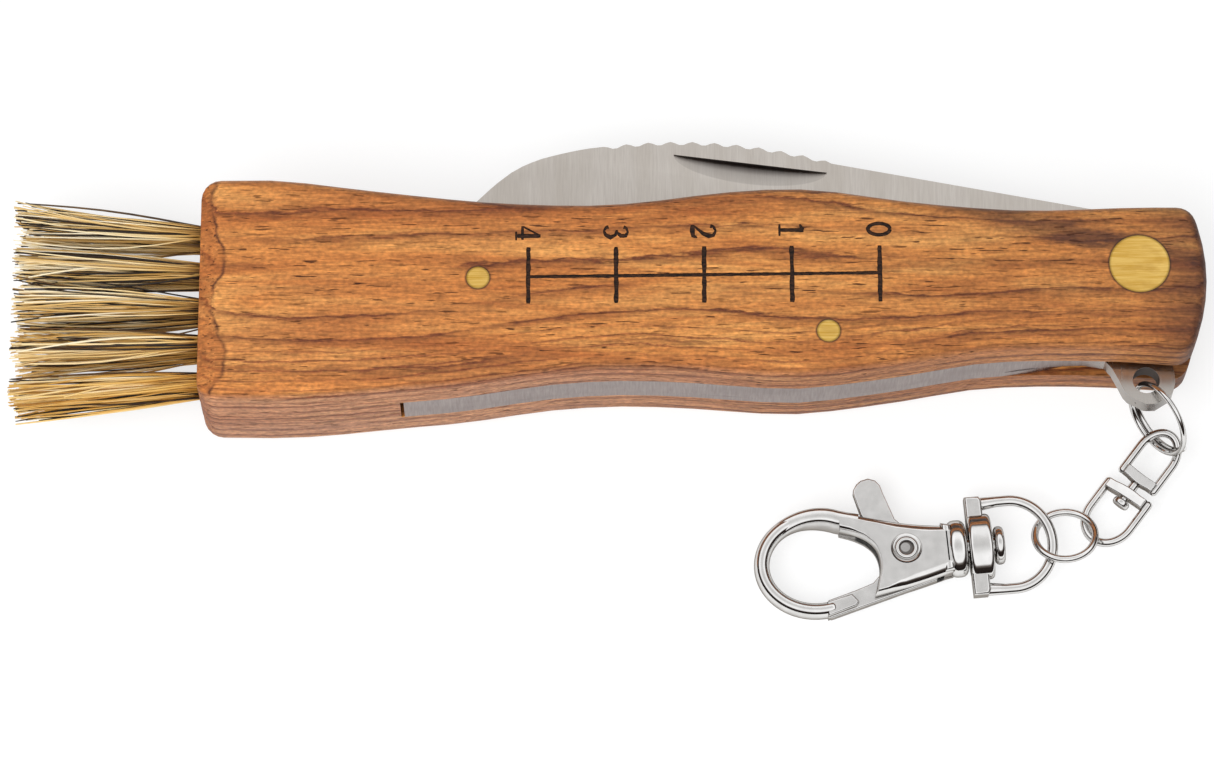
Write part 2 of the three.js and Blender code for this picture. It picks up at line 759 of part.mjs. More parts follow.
function claspBody() {
  const rim = plateRimShares.map(([x, y]) => point(x * plateReach, y * plateRise));
  const plates = roundedPlate(rim, -bodyHeight / 2, bodyHeight / 2, bodyEdgeRound, 2);
  const swing = rodAlongZ(0, 0, -bodyHeight, bodyHeight, gateReach + gateGap, 96);
  const belowCentre = block(
    new THREE.Vector3(hookCentreX - hookWidth, -2 * hookReach, -bodyHeight),
    new THREE.Vector3(0, hookCentreY - hookRise / 2, bodyHeight),
  );
  const hook = wire(hookPath(), hookHeight, hookWidth, 40, 4).subtract(swing.intersect(belowCentre));
  const headStart = eyeStart + eyeBoss + axleGap;
  const axle = rodAlongX(collarStart, headStart + axleRadius / 2, 0, 0, axleRadius, pinSides);
  const head = rodAlongX(headStart, headStart + axleRadius, 0, 0, 2 * axleRadius, pinSides);
  const channel = block(
    new THREE.Vector3(-plateReach * 0.9, -plateReach, -channelHeight / 2),
    new THREE.Vector3(collarStart - axleGap * 3, plateReach, channelHeight / 2),
  );
  const bore = rodAlongZ(0, 0, -bodyHeight, bodyHeight, rivetRadius, pinSides);
  return plates.add(hook).subtract(channel).subtract(bore)
    .add(flange(collarStart, collarEnd, collarWidth / 2))
    .add(axle)
    .add(head);
}

// Lever: a thumb tab above the rivet, and a gate that closes the hook below it.
const leverReach = 9.65;
const leverTop = 9.15;
const thumbShares = [
  [-0.088, 0.445], [-0.192, 0.79], [-0.218, 0.896], [-0.27, 0.967], [-0.353, 1], [-0.446, 0.978],
  [-0.502, 0.932], [-0.544, 0.863], [-0.549, 0.82], [-0.483, 0.523], [-0.38, 0.3], [-0.2, 0.06],
];
const armShares = [
  [-0.22, -0.15], [-0.425, -0.366], [-0.627, -0.437], [-1, -0.55], [-1, -0.81], [-0.878, -0.753],
  [0.334, -0.399], [0.35, -0.345], [0.19, -0.02], [0.17, 0.14],
];
const gateShares = [[-1, -0.575], [-0.685, -0.492], [-0.602, -0.602], [-0.64, -0.66], [-1, -0.77]];
const gateHeight = 2.3;

function claspLever() {
  const place = ([x, y]) => point(x * leverReach, y * leverTop);
  const rim = [...thumbShares, ...armShares].map(place);
  const gate = plate(gateShares.map(place), -gateHeight / 2, gateHeight / 2);
  const swing = rodAlongZ(0, 0, -bodyHeight, bodyHeight, gateReach, 96);
  const bore = rodAlongZ(0, 0, -bodyHeight, bodyHeight, rivetRadius + runningGap, pinSides);
  return plate(rim, -leverThick / 2, leverThick / 2).add(gate).intersect(swing).subtract(bore);
}

function claspRivet() {
  const seat = bodyHeight / 2;
  const roll = rivetFlange - rivetRadius;
  const cap = seat + roll * 0.42;
  const profile = [
    [0, -seat], [rivetRadius * 0.6, -seat], [rivetRadius * 0.75, -cap], [rivetFlange * 0.85, -cap],
    [rivetFlange, -seat - roll * 0.2], [rivetFlange, -seat], [rivetRadius, -seat],
    [rivetRadius, seat], [rivetFlange, seat], [rivetFlange, seat + roll * 0.2],
    [rivetFlange * 0.85, cap], [rivetRadius * 0.75, cap], [rivetRadius * 0.6, seat], [0, seat],
  ];
  return solid(turned(profile, pinSides));
}

// A bent leaf behind the lever that brings the gate back to the hook.
const leafThick = 0.35;

function leverSpring() {
  const wall = collarStart - axleGap * 4;
  const points = [
    point(wall, -rivetFlange * 0.5),
    point(wall, rivetFlange * 0.8),
    point(wall - leafThick * 2, rivetFlange * 1.05),
    point(rivetFlange * 1.4, rivetFlange * 0.95),
  ];
  const back = points.map((corner) => point(corner.x - leafThick, corner.y - leafThick)).reverse();
  return plate([...points, ...back], -leverThick / 2, leverThick / 2);
}

// Rest places of the chain's pieces: steps across the floor from the lanyard tab's hole, and heights
// above that floor.
const ringStep = [1.66, -3.67];
const ringLift = 6.34;
const ringNormal = [0.803, 0.556, -0.214];
const swivelStep = [-1.18, -10.59];
const swivelLift = 2.2;
const swivelTurnDegrees = -127.5;
const swivelDipDegrees = 6.6;
const lowerRollDegrees = 16.5;
const upperRollDegrees = -6;
const jumpStep = [-9.21, -16.56];
const jumpLift = 2.56;
const jumpNormal = [-0.076, 0.367, 0.927];
const claspStep = [-27.5, -18.65];
const claspTurnDegrees = 5;
const eyeRollDegrees = 2.1;
const degree = Math.PI / 180;

const chainPlace = ([x, y], lift) => new THREE.Vector3(tabHoleX + x, y - tabHoleDrop, lift);

// Turns a piece whose own axis is +Z so that it faces along the normal, and +X stays level.
function facing(normal) {
  const front = new THREE.Vector3(...normal).normalize();
  const side = new THREE.Vector3(0, 0, 1).cross(front).normalize().negate();
  const up = front.clone().cross(side);
  return new THREE.Quaternion().setFromRotationMatrix(new THREE.Matrix4().makeBasis(side, up, front));
}

function ringGroup() {
  const group = new THREE.Group();
  group.position.copy(chainPlace(ringStep, ringLift));
  group.quaternion.copy(facing(ringNormal));
  group.add(piece('split_ring', nickel, splitRing()));
  return group;
}

function swivelGroup() {
  const group = new THREE.Group();
  group.position.copy(chainPlace(swivelStep, swivelLift));
  group.rotation.set(0, swivelDipDegrees * degree, swivelTurnDegrees * degree, 'ZYX');
  const lower = piece('lower_swivel_link', nickel, lowerLink());
  lower.position.x = linkGap / 2;
  lower.rotation.x = lowerRollDegrees * degree;
  const upper = piece('upper_swivel_link', nickel, upperLink());
  upper.position.x = -linkGap / 2;
  upper.rotation.set(upperRollDegrees * degree, 0, Math.PI, 'XYZ');
  group.add(upper, lower);
  return group;
}

function jumpGroup() {
  const group = new THREE.Group();
  group.position.copy(chainPlace(jumpStep, jumpLift));
  group.quaternion.copy(facing(jumpNormal));
  group.add(piece('jump_ring', nickel, jumpRing()));
  return group;
}

function claspGroup() {
  const group = new THREE.Group();
  group.position.copy(chainPlace(claspStep, claspLift));
  group.rotation.z = claspTurnDegrees * degree;
  const eye = piece('clasp_eye', nickel, claspEye());
  eye.rotation.x = eyeRollDegrees * degree;
  group.add(
    eye,
    piece('clasp_body', nickel, claspBody()),
    piece('clasp_lever', nickel, claspLever()),
    piece('clasp_rivet', nickel, claspRivet()),
    piece('lever_spring', plateSteel, leverSpring()),
  );
  return group;
}

const knife = new THREE.Group();
knife.add(
  piece('handle_block', wood, handleBlock()),
  piece('rear_liner', plateSteel, liner(slotLow, springLow)),
  piece('front_liner', plateSteel, liner(springHigh, slotHigh)),
  piece('back_spring', plateSteel, backSpring()),
  piece('blade', bladeSteel, blade()),
  piece('pivot_rivet', brass, pivotRivet()),
  piece('rear_spring_pin', brass, rearPin()),
  piece('middle_spring_pin', brass, middlePin()),
  piece('rear_bristles', bristle, bristleRow(-1)),
  piece('front_bristles', bristle, bristleRow(1)),
);
for (const [side, row] of [['rear', -1], ['front', 1]]) {
  tuftPlaces(row).forEach((place, i) => {
    knife.add(piece(`${side}_tuft_anchor_${i + 1}`, plateSteel, anchorBlock(place)));
  });
}
knife.add(ringGroup(), swivelGroup(), jumpGroup(), claspGroup());

export default knife;
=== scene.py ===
# A folding mushroom knife: a hardwood handle with a brush set in its butt and a ruler burnt into its
# face, a curved blade, and a lanyard chain with a swivel clasp. Sizes are in millimetres in the text
# and in metres in the meshes. The knife lies on the rear face of its handle, and +X is the pivot end.
import math
import random

import bpy
from mathutils import Matrix, Vector


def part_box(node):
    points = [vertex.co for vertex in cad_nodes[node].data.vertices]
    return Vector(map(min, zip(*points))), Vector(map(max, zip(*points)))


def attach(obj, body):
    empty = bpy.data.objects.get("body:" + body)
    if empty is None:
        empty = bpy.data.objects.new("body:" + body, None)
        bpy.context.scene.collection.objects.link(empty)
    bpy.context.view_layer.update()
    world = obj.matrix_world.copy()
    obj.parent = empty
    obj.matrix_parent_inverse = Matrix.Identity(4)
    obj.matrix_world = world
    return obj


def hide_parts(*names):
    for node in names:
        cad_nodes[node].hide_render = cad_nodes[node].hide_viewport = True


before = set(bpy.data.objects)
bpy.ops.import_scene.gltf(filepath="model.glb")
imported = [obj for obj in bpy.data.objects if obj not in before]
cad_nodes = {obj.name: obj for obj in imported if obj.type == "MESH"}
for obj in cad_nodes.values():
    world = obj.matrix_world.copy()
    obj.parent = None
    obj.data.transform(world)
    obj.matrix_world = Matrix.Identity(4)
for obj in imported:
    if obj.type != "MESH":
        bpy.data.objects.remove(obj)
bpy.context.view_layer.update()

# The table and its light. The knife lies on a pale sheet under one wide soft lamp, with a white room
# round it. The sheet keeps the soft shadow, and metal sees a dark strip low round the room, wider in front.
MM = 0.001


def colour(code):
    """An sRGB hex code, or a plain level from 0 to 1, as the linear colour that a shader takes."""
    if not isinstance(code, str):
        return (code, code, code, 1.0)
    shares = [int(code[i : i + 2], 16) / 255 for i in (1, 3, 5)]
    linear = [c / 12.92 if c <= 0.04045 else ((c + 0.055) / 1.055) ** 2.4 for c in shares]
    return (*linear, 1.0)


def connect(node, sockets):
    """Gives sockets of a node, listed in order or by name, their values or links from other nodes."""
    for key, value in sockets.items() if isinstance(sockets, dict) else enumerate(sockets):
        if isinstance(value, bpy.types.Node):
            value = value.outputs[0]
        if isinstance(value, bpy.types.NodeSocket):
            tree.links.new(value, node.inputs[key])
        else:
            node.inputs[key].default_value = value


def add(kind, sockets=(), stops=(), **settings):
    """One node in the tree in hand, a shader's unless its kind says otherwise, with its settings, its
    sockets and, on a ramp, its (place, colour) stops."""
    made = tree.nodes.new(kind if "Node" in kind else "ShaderNode" + kind)
    for name, value in settings.items():
        setattr(made, name, value)
    connect(made, sockets)
    if stops:
        ramp = made.color_ramp.elements
        ramp[0].position, ramp[1].position = stops[0][0], stops[-1][0]
        ramp[0].color, ramp[1].color = colour(stops[0][1]), colour(stops[-1][1])
        for place, shade in stops[1:-1]:
            ramp.new(place).color = colour(shade)
    return made


def show(name, data):
    """A new object in the scene with this data."""
    made = bpy.data.objects.new(name, data)
    bpy.context.scene.collection.objects.link(made)
    return made


camera = show("camera", bpy.data.cameras.new("camera"))
camera.location = (-0.011021, -0.200015, 0.564380)
camera.rotation_euler = (math.radians(19), 0, 0)
camera.data.sensor_width = 36
camera.data.lens = 152.42
camera.data.clip_start = 0.01
bpy.context.scene.camera = camera
bpy.context.scene.view_settings.view_transform = "Standard"

SHEET_HALF = 3
CONTACT_GAP = 0.03 * MM
corners = [(x * SHEET_HALF, y * SHEET_HALF, 0) for x, y in ((-1, -1), (1, -1), (1, 1), (-1, 1))]
sheet_mesh = bpy.data.meshes.new("table_sheet")
sheet_mesh.from_pydata(corners, [], [(0, 1, 2, 3)])
table_sheet = show("table_sheet", sheet_mesh)
table_sheet.location.z = -CONTACT_GAP

# The sheet is a mid grey to what looks straight at it, with a fill that brings it up to white.
white_sheet = bpy.data.materials.new("matt_white_sheet")
white_sheet.use_nodes = True
tree = white_sheet.node_tree
tree.nodes.clear()
path = add("LightPath")
GLOSSY_FILL_SHARE = 0.4
FILL_LEVEL = 0.7
for_gloss = add("Math", [path.outputs["Is Glossy Ray"], GLOSSY_FILL_SHARE], operation="MULTIPLY")
seen = add("Math", [path.outputs["Is Camera Ray"], for_gloss], operation="MAXIMUM")
seen = add("Math", [seen, path.outputs["Is Transmission Ray"]], operation="MAXIMUM")
sheet_colour = add("Mix", {0: seen, 6: colour("#e4e4e2"), 7: colour("#9a9a9a")}, data_type="RGBA")
lit = add("BsdfDiffuse", {"Color": sheet_colour.outputs[2]})
fill_level = add("Math", [seen, FILL_LEVEL], operation="MULTIPLY")
fill = add("Emission", {"Color": colour(1.0), "Strength": fill_level})
both = add("AddShader", [lit, fill])
add("OutputMaterial", {"Surface": both})
sheet_mesh.materials.append(white_sheet)

room = bpy.data.worlds.new("white_room")
room.use_nodes = True
tree = room.node_tree
tree.nodes.clear()
path = add("LightPath")
toward = add("SeparateXYZ", [add("TexCoord").outputs["Generated"]])

# The room's brightness by height, which is 1 overhead: beside the table and in front of it.
beside = add("ValToRGB", [toward.outputs["Z"]], stops=(
    (0, "#f4f4f4"), (0.02, "#a09a96"), (0.05, "#241c18"), (0.44, "#3a302b"), (0.56, "#6c645f"),
    (0.66, "#ffffff"), (0.86, "#ffffff"), (0.93, "#cfcecd"), (1, "#c6c5c4")))
in_front = add("ValToRGB", [toward.outputs["Z"]], stops=(
    (0, "#f4f4f4"), (0.02, "#a09a96"), (0.05, "#1c1614"), (0.5, "#2a2421"), (0.62, "#6c645f"),
    (0.71, "#ffffff"), (1, "#fafafa")))
to_front = add("MapRange", [toward.outputs["Y"], 0.12, -0.24])
both_walls = add("Mix", {0: to_front, 6: beside, 7: in_front}, data_type="RGBA")
for_metal = add("Background", {"Color": both_walls.outputs[2], "Strength": 1.12})
plain = add("Background", {"Color": colour(1.0), "Strength": 0.62})
white = add("Background", {"Color": colour(1.0), "Strength": 1.0})
straight = add("Math", [path.outputs["Is Camera Ray"], path.outputs["Is Transmission Ray"]],
               operation="MAXIMUM")
light = add("MixShader", [path.outputs["Is Glossy Ray"], plain, for_metal])
light = add("MixShader", [straight, light, white])
add("OutputWorld", {"Surface": light})
bpy.context.scene.world = room

soft_lamp = bpy.data.lights.new("wide_soft_lamp", "AREA")
soft_lamp.shape = "RECTANGLE"
soft_lamp.size = 0.9
soft_lamp.size_y = 0.6
soft_lamp.energy = 7.5
wide_lamp = show("wide_soft_lamp", soft_lamp)
wide_lamp.location = (-0.35, -0.45, 0.75)
wide_lamp.rotation_euler = (Vector((0, 0, 0)) - wide_lamp.location).to_track_quat("-Z", "Y").to_euler()
wide_lamp.visible_glossy = False

# The handle is one block of dense hardwood, cut to a waisted outline, slotted for the steel, rounded
# over by sanding and finished with oil. Grain runs along it, and the sanded sides look pinker.
PIVOT = (49.6, 3.2)
REAR_PIN = (-25.7, 1.5)
MIDDLE_PIN = (14.1, -4.9)
PIVOT_HEAD = 3.45
PIN_RADIUS = 1.33
BUTT_X = -57.5
MIDDLE_Z = 7.8
HALF_WIDTH = 13.0
UPPER_HALF = 13.8


def repeats(x, y, z):
    """Pattern repeats per metre along each axis, from the real size of one repeat in millimetres."""
    return (1000 / x, 1000 / y, 1000 / z)


def new_finish(name):
    """A new material, whose tree is taken in hand: its surface shader and the spot it colours."""
    global tree
    made = bpy.data.materials.new(name)
    made.use_nodes = True
    tree = made.node_tree
    return made, tree.nodes["Principled BSDF"], add("TexCoord")


def in_mm(axes=(1, 1, 1)):
    """The spot's place in millimetres along these axes."""
    return add("VectorMath", [spot.outputs["Object"], [1000 * axis for axis in axes]],
               operation="MULTIPLY")


def how_far(point, axes=(1, 1, 1)):
    """How far the spot is from a point along these axes, in millimetres."""
    return add("VectorMath", [in_mm(axes), point], operation="DISTANCE").outputs["Value"]


# Oiled hardwood: sawn, sanded and oiled, so it is satin, with growth lines that run with the waist of
# the handle, fine fibre and short open pores. Fibre is drawn about twice as coarse as it is, to show.
oiled_hardwood, shader, spot = new_finish("oiled_hardwood")
x_mm, y_mm, z_mm = add("SeparateXYZ", [in_mm()]).outputs
along = add("MapRange", [x_mm, BUTT_X, -BUTT_X])
facing = add("SeparateXYZ", [spot.outputs["Normal"]])
side_on = add("Math", [facing.outputs["Y"]], operation="ABSOLUTE")
end_on = add("Math", [facing.outputs["X"]], operation="ABSOLUTE")
face_on = add("Math", [facing.outputs["Z"]], operation="ABSOLUTE")


def drift(points):
    """A level that changes along the handle, from (share of its length, level) points."""
    made = add("FloatCurve", {1: along})
    curve = made.mapping.curves[0]
    curve.points[0].location, curve.points[1].location = points[0], points[-1]
    for share, level in points[1:-1]:
        curve.points.new(share, level)
    made.mapping.update()
    return made


def grain(size, detail, rough=0.5, twist=0.0):
    """Noise whose patches have this real size in millimetres along, across and through the piece."""
    scaled = add("VectorMath", [spot.outputs["Object"], repeats(*size)], operation="MULTIPLY")
    return add("TexNoise", {
        "Vector": scaled, "Scale": 1.0, "Detail": detail, "Roughness": rough, "Distortion": twist})


def stain(under, code, *shares):
    """The colour so far with another over it, as far as every one of the shares lets it show."""
    share = shares[0]
    for other in shares[1:]:
        share = add("Math", [share, other], operation="MULTIPLY")
    return add("Mix", {0: share, 6: under, 7: colour(code)}, data_type="RGBA").outputs[2]


# The grain follows the two edges of the handle: flow runs from 0 at the lower one to 1 at the upper.
lower_edge = drift([(0, 0.92), (0.115, 0.94), (0.2, 0.9), (0.32, 0.77), (0.42, 0.69), (0.5, 0.72),
                    (0.58, 0.76), (0.7, 0.65), (0.8, 0.53), (0.9, 0.51), (1, 0.55)])
upper_edge = drift([(0, 0.86), (0.14, 0.84), (0.27, 0.82), (0.39, 0.84), (0.5, 0.9), (0.585, 0.92),
                    (0.7, 0.82), (0.82, 0.72), (1, 0.7)])
lower_mm = add("Math", [lower_edge, -HALF_WIDTH], operation="MULTIPLY")
upper_mm = add("Math", [upper_edge, UPPER_HALF], operation="MULTIPLY")
over_edge = add("Math", [y_mm, lower_mm], operation="SUBTRACT")
width_mm = add("Math", [upper_mm, lower_mm], operation="SUBTRACT")
flow = add("Math", [over_edge, width_mm], operation="DIVIDE")
sway = grain((46, 9, 12), 2.0)
ragged = grain((5, 0.9, 0.9), 5.0, 0.66)
patches = grain((26, 3.0, 3.0), 3.0)
tone = grain((34, 4.2, 4.2), 6.0, 0.62, 0.5)
sway_step = add("MapRange", [sway, 0, 1, -0.95, 0.95])
ragged_step = add("MapRange", [ragged, 0, 1, -0.3, 0.3])
loose = add("Math", [sway_step, ragged_step], operation="ADD")


def growth_lines(height, height_step, depth_step, waver, profile):
    """Dark late wood once in each step of height and of depth, by a profile over one step."""
    level = add("Math", [height, height_step], operation="DIVIDE")
    deep = add("Math", [z_mm, depth_step], operation="DIVIDE")
    level = add("Math", [level, deep], operation="ADD")
    level = add("Math", [waver, level], operation="ADD")
    level = add("Math", [level], operation="FRACT")
    return add("ValToRGB", [level], stops=((0, profile[0]), *profile[1:], (1, profile[0])))


streaks = growth_lines(flow, 0.17, 2.1, loose,
                       (0.15, (0.12, 0.0), (0.55, 0.0), (0.84, 0.5), (0.93, 1.0), (0.97, 0.6)))
shown = add("MapRange", [patches, 0.36, 0.54])
fine_waver = add("MapRange", [ragged, 0, 1, -0.55, 0.55])
fine_lines = growth_lines(over_edge, 1.15, 1.6, fine_waver, (0.1, (0.2, 0.0), (0.68, 0.0), (0.9, 1.0)))
near_edge = add("MapRange", [over_edge, 6.5, 3.5, 0.1])
fine_shown = add("MapRange", [tone, 0.36, 0.56, 0.15])

# Three brown tones, pinker on the sanded sides, deeper on the ends, with the late wood's dark lines.
wood = add("ValToRGB", [tone], stops=((0.3, "#985424"), (0.5, "#bf7b3d"), (0.7, "#d99d57")))
pink_level = drift([(0, 0.66), (0.35, 0.62), (0.6, 0.42), (0.8, 0.22), (1, 0.15)])
sanded = add("MapRange", [side_on, 0.6, 0.97])
wood = stain(wood, "#a67c62", sanded, pink_level)
wood = stain(wood, "#8c4f2a", add("MapRange", [end_on, 0.25, 0.7, 0, 0.6]))
wood = stain(wood, "#8a4a22", add("MapRange", [grain((60, 8, 8), 3.0), 0.48, 0.7, 0, 0.7]))
wood = stain(wood, "#5c2a12", streaks, shown)
wood = stain(wood, "#70381c", fine_lines, near_edge, fine_shown)

# A dark band of heartwood comes in at the pivot end from the upper edge and covers the nose.
band = drift([(0, 0.98), (0.68, 0.92), (0.74, 0.84), (0.8, 0.7), (0.86, 0.55), (0.93, 0.42), (1, 0.3)])
band_mm = add("Math", [band, HALF_WIDTH], operation="MULTIPLY")
off_band = add("Math", [y_mm, band_mm], operation="SUBTRACT")
off_band = add("Math", [off_band, add("MapRange", [ragged, 0, 1, -2.4, 2.4])], operation="ADD")
off_band = add("Math", [off_band], operation="ABSOLUTE")
in_band = add("MapRange", [off_band, 2.2, 0.7])
near_pivot = add("MapRange", [x_mm, 18, 34, 0, 0.9])
nose = add("MapRange", [x_mm, 49, 56, 0, 0.75])
mottled = add("MapRange", [tone, 0.62, 0.44, 0.5])
band_share = add("Math", [in_band, near_pivot], operation="MULTIPLY")
band_share = add("Math", [band_share, nose], operation="MAXIMUM")
wood = stain(wood, "#48251a", band_share, mottled)

# The flat faces were rasped to a facet at the butt; painted shade darkens it up to a wavy dark line.
on_flat = add("MapRange", [face_on, 0.5, 0.7])
rasp_line = add("MapRange", [sway, 0.3, 0.7, 53.9, 56.9])
rasped = add("Math", [x_mm, rasp_line], operation="ADD")
rasped = add("Math", [rasped, add("MapRange", [ragged, 0, 1, -0.5, 0.5])], operation="ADD")
facet_painted_shade = add("MapRange", [rasped, 0.15, -0.15, 0, 0.5])
rasped_edge = add("Math", [rasped], operation="ABSOLUTE")
rasped_edge = add("MapRange", [rasped_edge, 0.34, 0.04, 0, 0.9])
broken = add("MapRange", [patches, 0.62, 0.42, 0.25])
wood = stain(wood, "#94501f", facet_painted_shade, on_flat)
wood = stain(wood, "#4d2410", rasped_edge, broken, on_flat)

# Light and dark fibre, worn lighter towards the butt and a little darker along every edge.
fibre = grain((3.2, 0.3, 0.3), 4.0, 0.65)
fibre_level = add("MapRange", [fibre, 0.3, 0.7, 0.6, 1.32])
silk_level = add("MapRange", [grain((0.55, 0.4, 0.5), 2.0), 0.3, 0.7, 0.76, 1.22])
worn_level = drift([(0, 1.21), (0.3, 1.18), (0.55, 1.07), (0.8, 1.0), (1, 0.95)])
corner = add("Math", [face_on, side_on], operation="MAXIMUM")
corner = add("Math", [corner, end_on], operation="MAXIMUM")
edge_level = add("MapRange", [corner, 0.97, 0.72, 1.0, 0.84])
light_level = fibre_level
for level in (silk_level, worn_level, edge_level):
    light_level = add("Math", [light_level, level], operation="MULTIPLY")
wood = add("HueSaturation", {"Value": light_level, "Color": wood})

pore_mark = add("MapRange", [grain((2.4, 0.25, 0.25), 1.0), 0.655, 0.7])
pore_shown = add("MapRange", [patches, 0.62, 0.4, 0.35, 0.95])
wood = stain(wood, "#3c1b0d", pore_mark, pore_shown)


def off_brass():
    """How far the spot is from the nearest rim of brass in the face, in millimetres."""
    nearest = None
    for centre, radius in ((PIVOT, PIVOT_HEAD), (REAR_PIN, PIN_RADIUS), (MIDDLE_PIN, PIN_RADIUS)):
        off = add("Math", [how_far((*centre, 0), (1, 1, 0)), radius], operation="SUBTRACT")
        off = add("Math", [off], operation="ABSOLUTE")
        nearest = off if nearest is None else add("Math", [nearest, off], operation="MINIMUM")
    return nearest


# Dirt sits in the seam round the brass, and the pores are dull.
wood = stain(wood, "#2b180e", add("MapRange", [off_brass(), 0.24, 0.03, 0, 0.85]))
rough = add("MapRange", [fibre, 0.3, 0.7, 0.62, 0.5])
dull_pore = add("Math", [pore_mark, 0.25], operation="MULTIPLY")
rough = add("Math", [rough, dull_pore], operation="ADD")
relief = add("Math", [fibre, pore_mark], operation="SUBTRACT")
bump = add("Bump", {"Strength": 0.6, "Distance": 0.05 * MM, "Height": relief})
connect(shader, {"Base Color": wood, "Roughness": rough, "Normal": bump, "IOR": 1.5})

# Edges of a machined piece: flat faces stay flat and rounded ones run smooth.
clean_edges = tree = bpy.data.node_groups.new("clean_edges", "GeometryNodeTree")
for way in ("INPUT", "OUTPUT"):
    tree.interface.new_socket("Geometry", in_out=way, socket_type="NodeSocketGeometry")
SMOOTH_BELOW = math.radians(32)
shape = add("GeometryNodeMergeByDistance", {"Geometry": add("NodeGroupInput"), "Distance": 0.002 * MM})
shape = add("GeometryNodeRemoveAttribute", {"Geometry": shape, "Name": "custom_normal"})
shape = add("GeometryNodeSetShadeSmooth", {"Geometry": shape}, domain="FACE")
fold = add("FunctionNodeCompare", {0: add("GeometryNodeInputMeshEdgeAngle"), 1: SMOOTH_BELOW},
           operation="GREATER_THAN")
shape = add("GeometryNodeSetShadeSmooth", {"Geometry": shape, "Selection": fold, "Shade Smooth": False},
            domain="EDGE")
add("NodeGroupOutput", {"Geometry": shape})


def modify(piece, name, kind, **settings):
    """Gives a piece a modifier with these settings."""
    made = piece.modifiers.new(name, kind)
    for key, value in settings.items():
        setattr(made, key, value)


def even_flats(piece):
    """Keeps large flat faces evenly lit right up to their rounded edges."""
    modify(piece, "even_flats", "WEIGHTED_NORMAL", keep_sharp=True)


def finish_node(name, material):
    """Gives a frame solid its finish and clean edges."""
    solid = cad_nodes[name]
    solid.data.materials.clear()
    solid.data.materials.append(material)
    modify(solid, "clean_edges", "NODES", node_group=clean_edges)
    even_flats(solid)
    return solid


# The ruler is burnt in with a hot iron: five strokes 10 mm apart on one long line, numbered 0 to 4
# from the pivot end with the figures lying on their sides, each mark charred and slightly ragged.
RULER_Z = 2 * MIDDLE_Z
BURN_DEPTH = 0.12
FIGURE_HEIGHT = 3.0
STROKE_STEP = 0.35
MARK_STEP = 10
FIRST_MARK = 20
figure_strokes = {
    0: [[(0.3 + 0.23 * math.sin(i * math.pi / 12), 0.5 + 0.42 * math.cos(i * math.pi / 12), 0.15)
         for i in range(25)]],
    1: [[(0.3, 0.03, 0.17), (0.3, 0.5, 0.15), (0.3, 0.97, 0.19)], [(0.06, 0.05, 0.09), (0.54, 0.05, 0.09)],
        [(0.06, 0.82, 0.06), (0.18, 0.88, 0.12), (0.3, 0.95, 0.13)]],
    2: [[(0.1, 0.75, 0.19), (0.12, 0.87, 0.12), (0.29, 0.955, 0.09), (0.47, 0.87, 0.15), (0.5, 0.7, 0.19),
         (0.4, 0.48, 0.16), (0.2, 0.25, 0.1), (0.08, 0.12, 0.08)],
        [(0.05, 0.08, 0.16), (0.3, 0.07, 0.19), (0.5, 0.1, 0.16), (0.57, 0.26, 0.06)]],
    3: [[(0.1, 0.79, 0.18), (0.14, 0.89, 0.11), (0.3, 0.95, 0.09), (0.45, 0.87, 0.15), (0.46, 0.69, 0.17),
         (0.32, 0.55, 0.1), (0.22, 0.53, 0.08)],
        [(0.22, 0.53, 0.08), (0.42, 0.48, 0.12), (0.52, 0.29, 0.19), (0.42, 0.11, 0.14), (0.26, 0.045, 0.09),
         (0.12, 0.12, 0.12), (0.09, 0.22, 0.18)]],
    4: [[(0.42, 0.03, 0.17), (0.42, 0.97, 0.17)], [(0.41, 0.95, 0.09), (0.22, 0.62, 0.07), (0.04, 0.3, 0.09)],
        [(0.02, 0.28, 0.11), (0.58, 0.28, 0.11)], [(0.24, 0.04, 0.08), (0.6, 0.04, 0.08)]],
}
shaky = random.Random(4)
burn_points, burn_faces = [], []


def burn(stroke):
    """A stroke of the iron: its middle line in (x, y, width) points becomes a shallow trough."""
    fine = []
    for start, end in zip(stroke, stroke[1:]):
        steps = max(2, round(math.dist(start[:2], end[:2]) / STROKE_STEP))
        fine += [[a + (b - a) * i / steps for a, b in zip(start, end)] for i in range(steps)]
    fine.append(stroke[-1])
    left, right = [], []
    for i, (x, y, width) in enumerate(fine):
        before, after = fine[max(i - 1, 0)], fine[min(i + 1, len(fine) - 1)]
        run = Vector((after[0] - before[0], after[1] - before[1])).normalized()
        half = width / 2 * (0.93 + 0.14 * shaky.random())
        if i in (0, len(fine) - 1):
            half *= 0.8
        left.append((x - run.y * half, y + run.x * half))
        right.append((x + run.y * half, y - run.x * half))
    rim = left + right[::-1]
    first, count = len(burn_points), len(rim)
    burn_points.extend((x * MM, y * MM, (RULER_Z - BURN_DEPTH) * MM) for x, y in rim)
    burn_points.extend((x * MM, y * MM, (RULER_Z + 1) * MM) for x, y in rim)
    half_count = count // 2
    for level_step in (0, count):
        for i in range(half_count - 1):
            quad = [i, i + 1, count - 2 - i, count - 1 - i]
            burn_faces.append([first + level_step + k for k in (quad if level_step == 0 else quad[::-1])])
    for i in range(count):
        j = (i + 1) % count
        burn_faces.append([first + j, first + i, first + count + i, first + count + j])


def ruler_level(x):
    """The long line's height on the face at a place along it; it isn't quite level."""
    return 1.6 + 0.5 * (x + 20.1) / 40.1


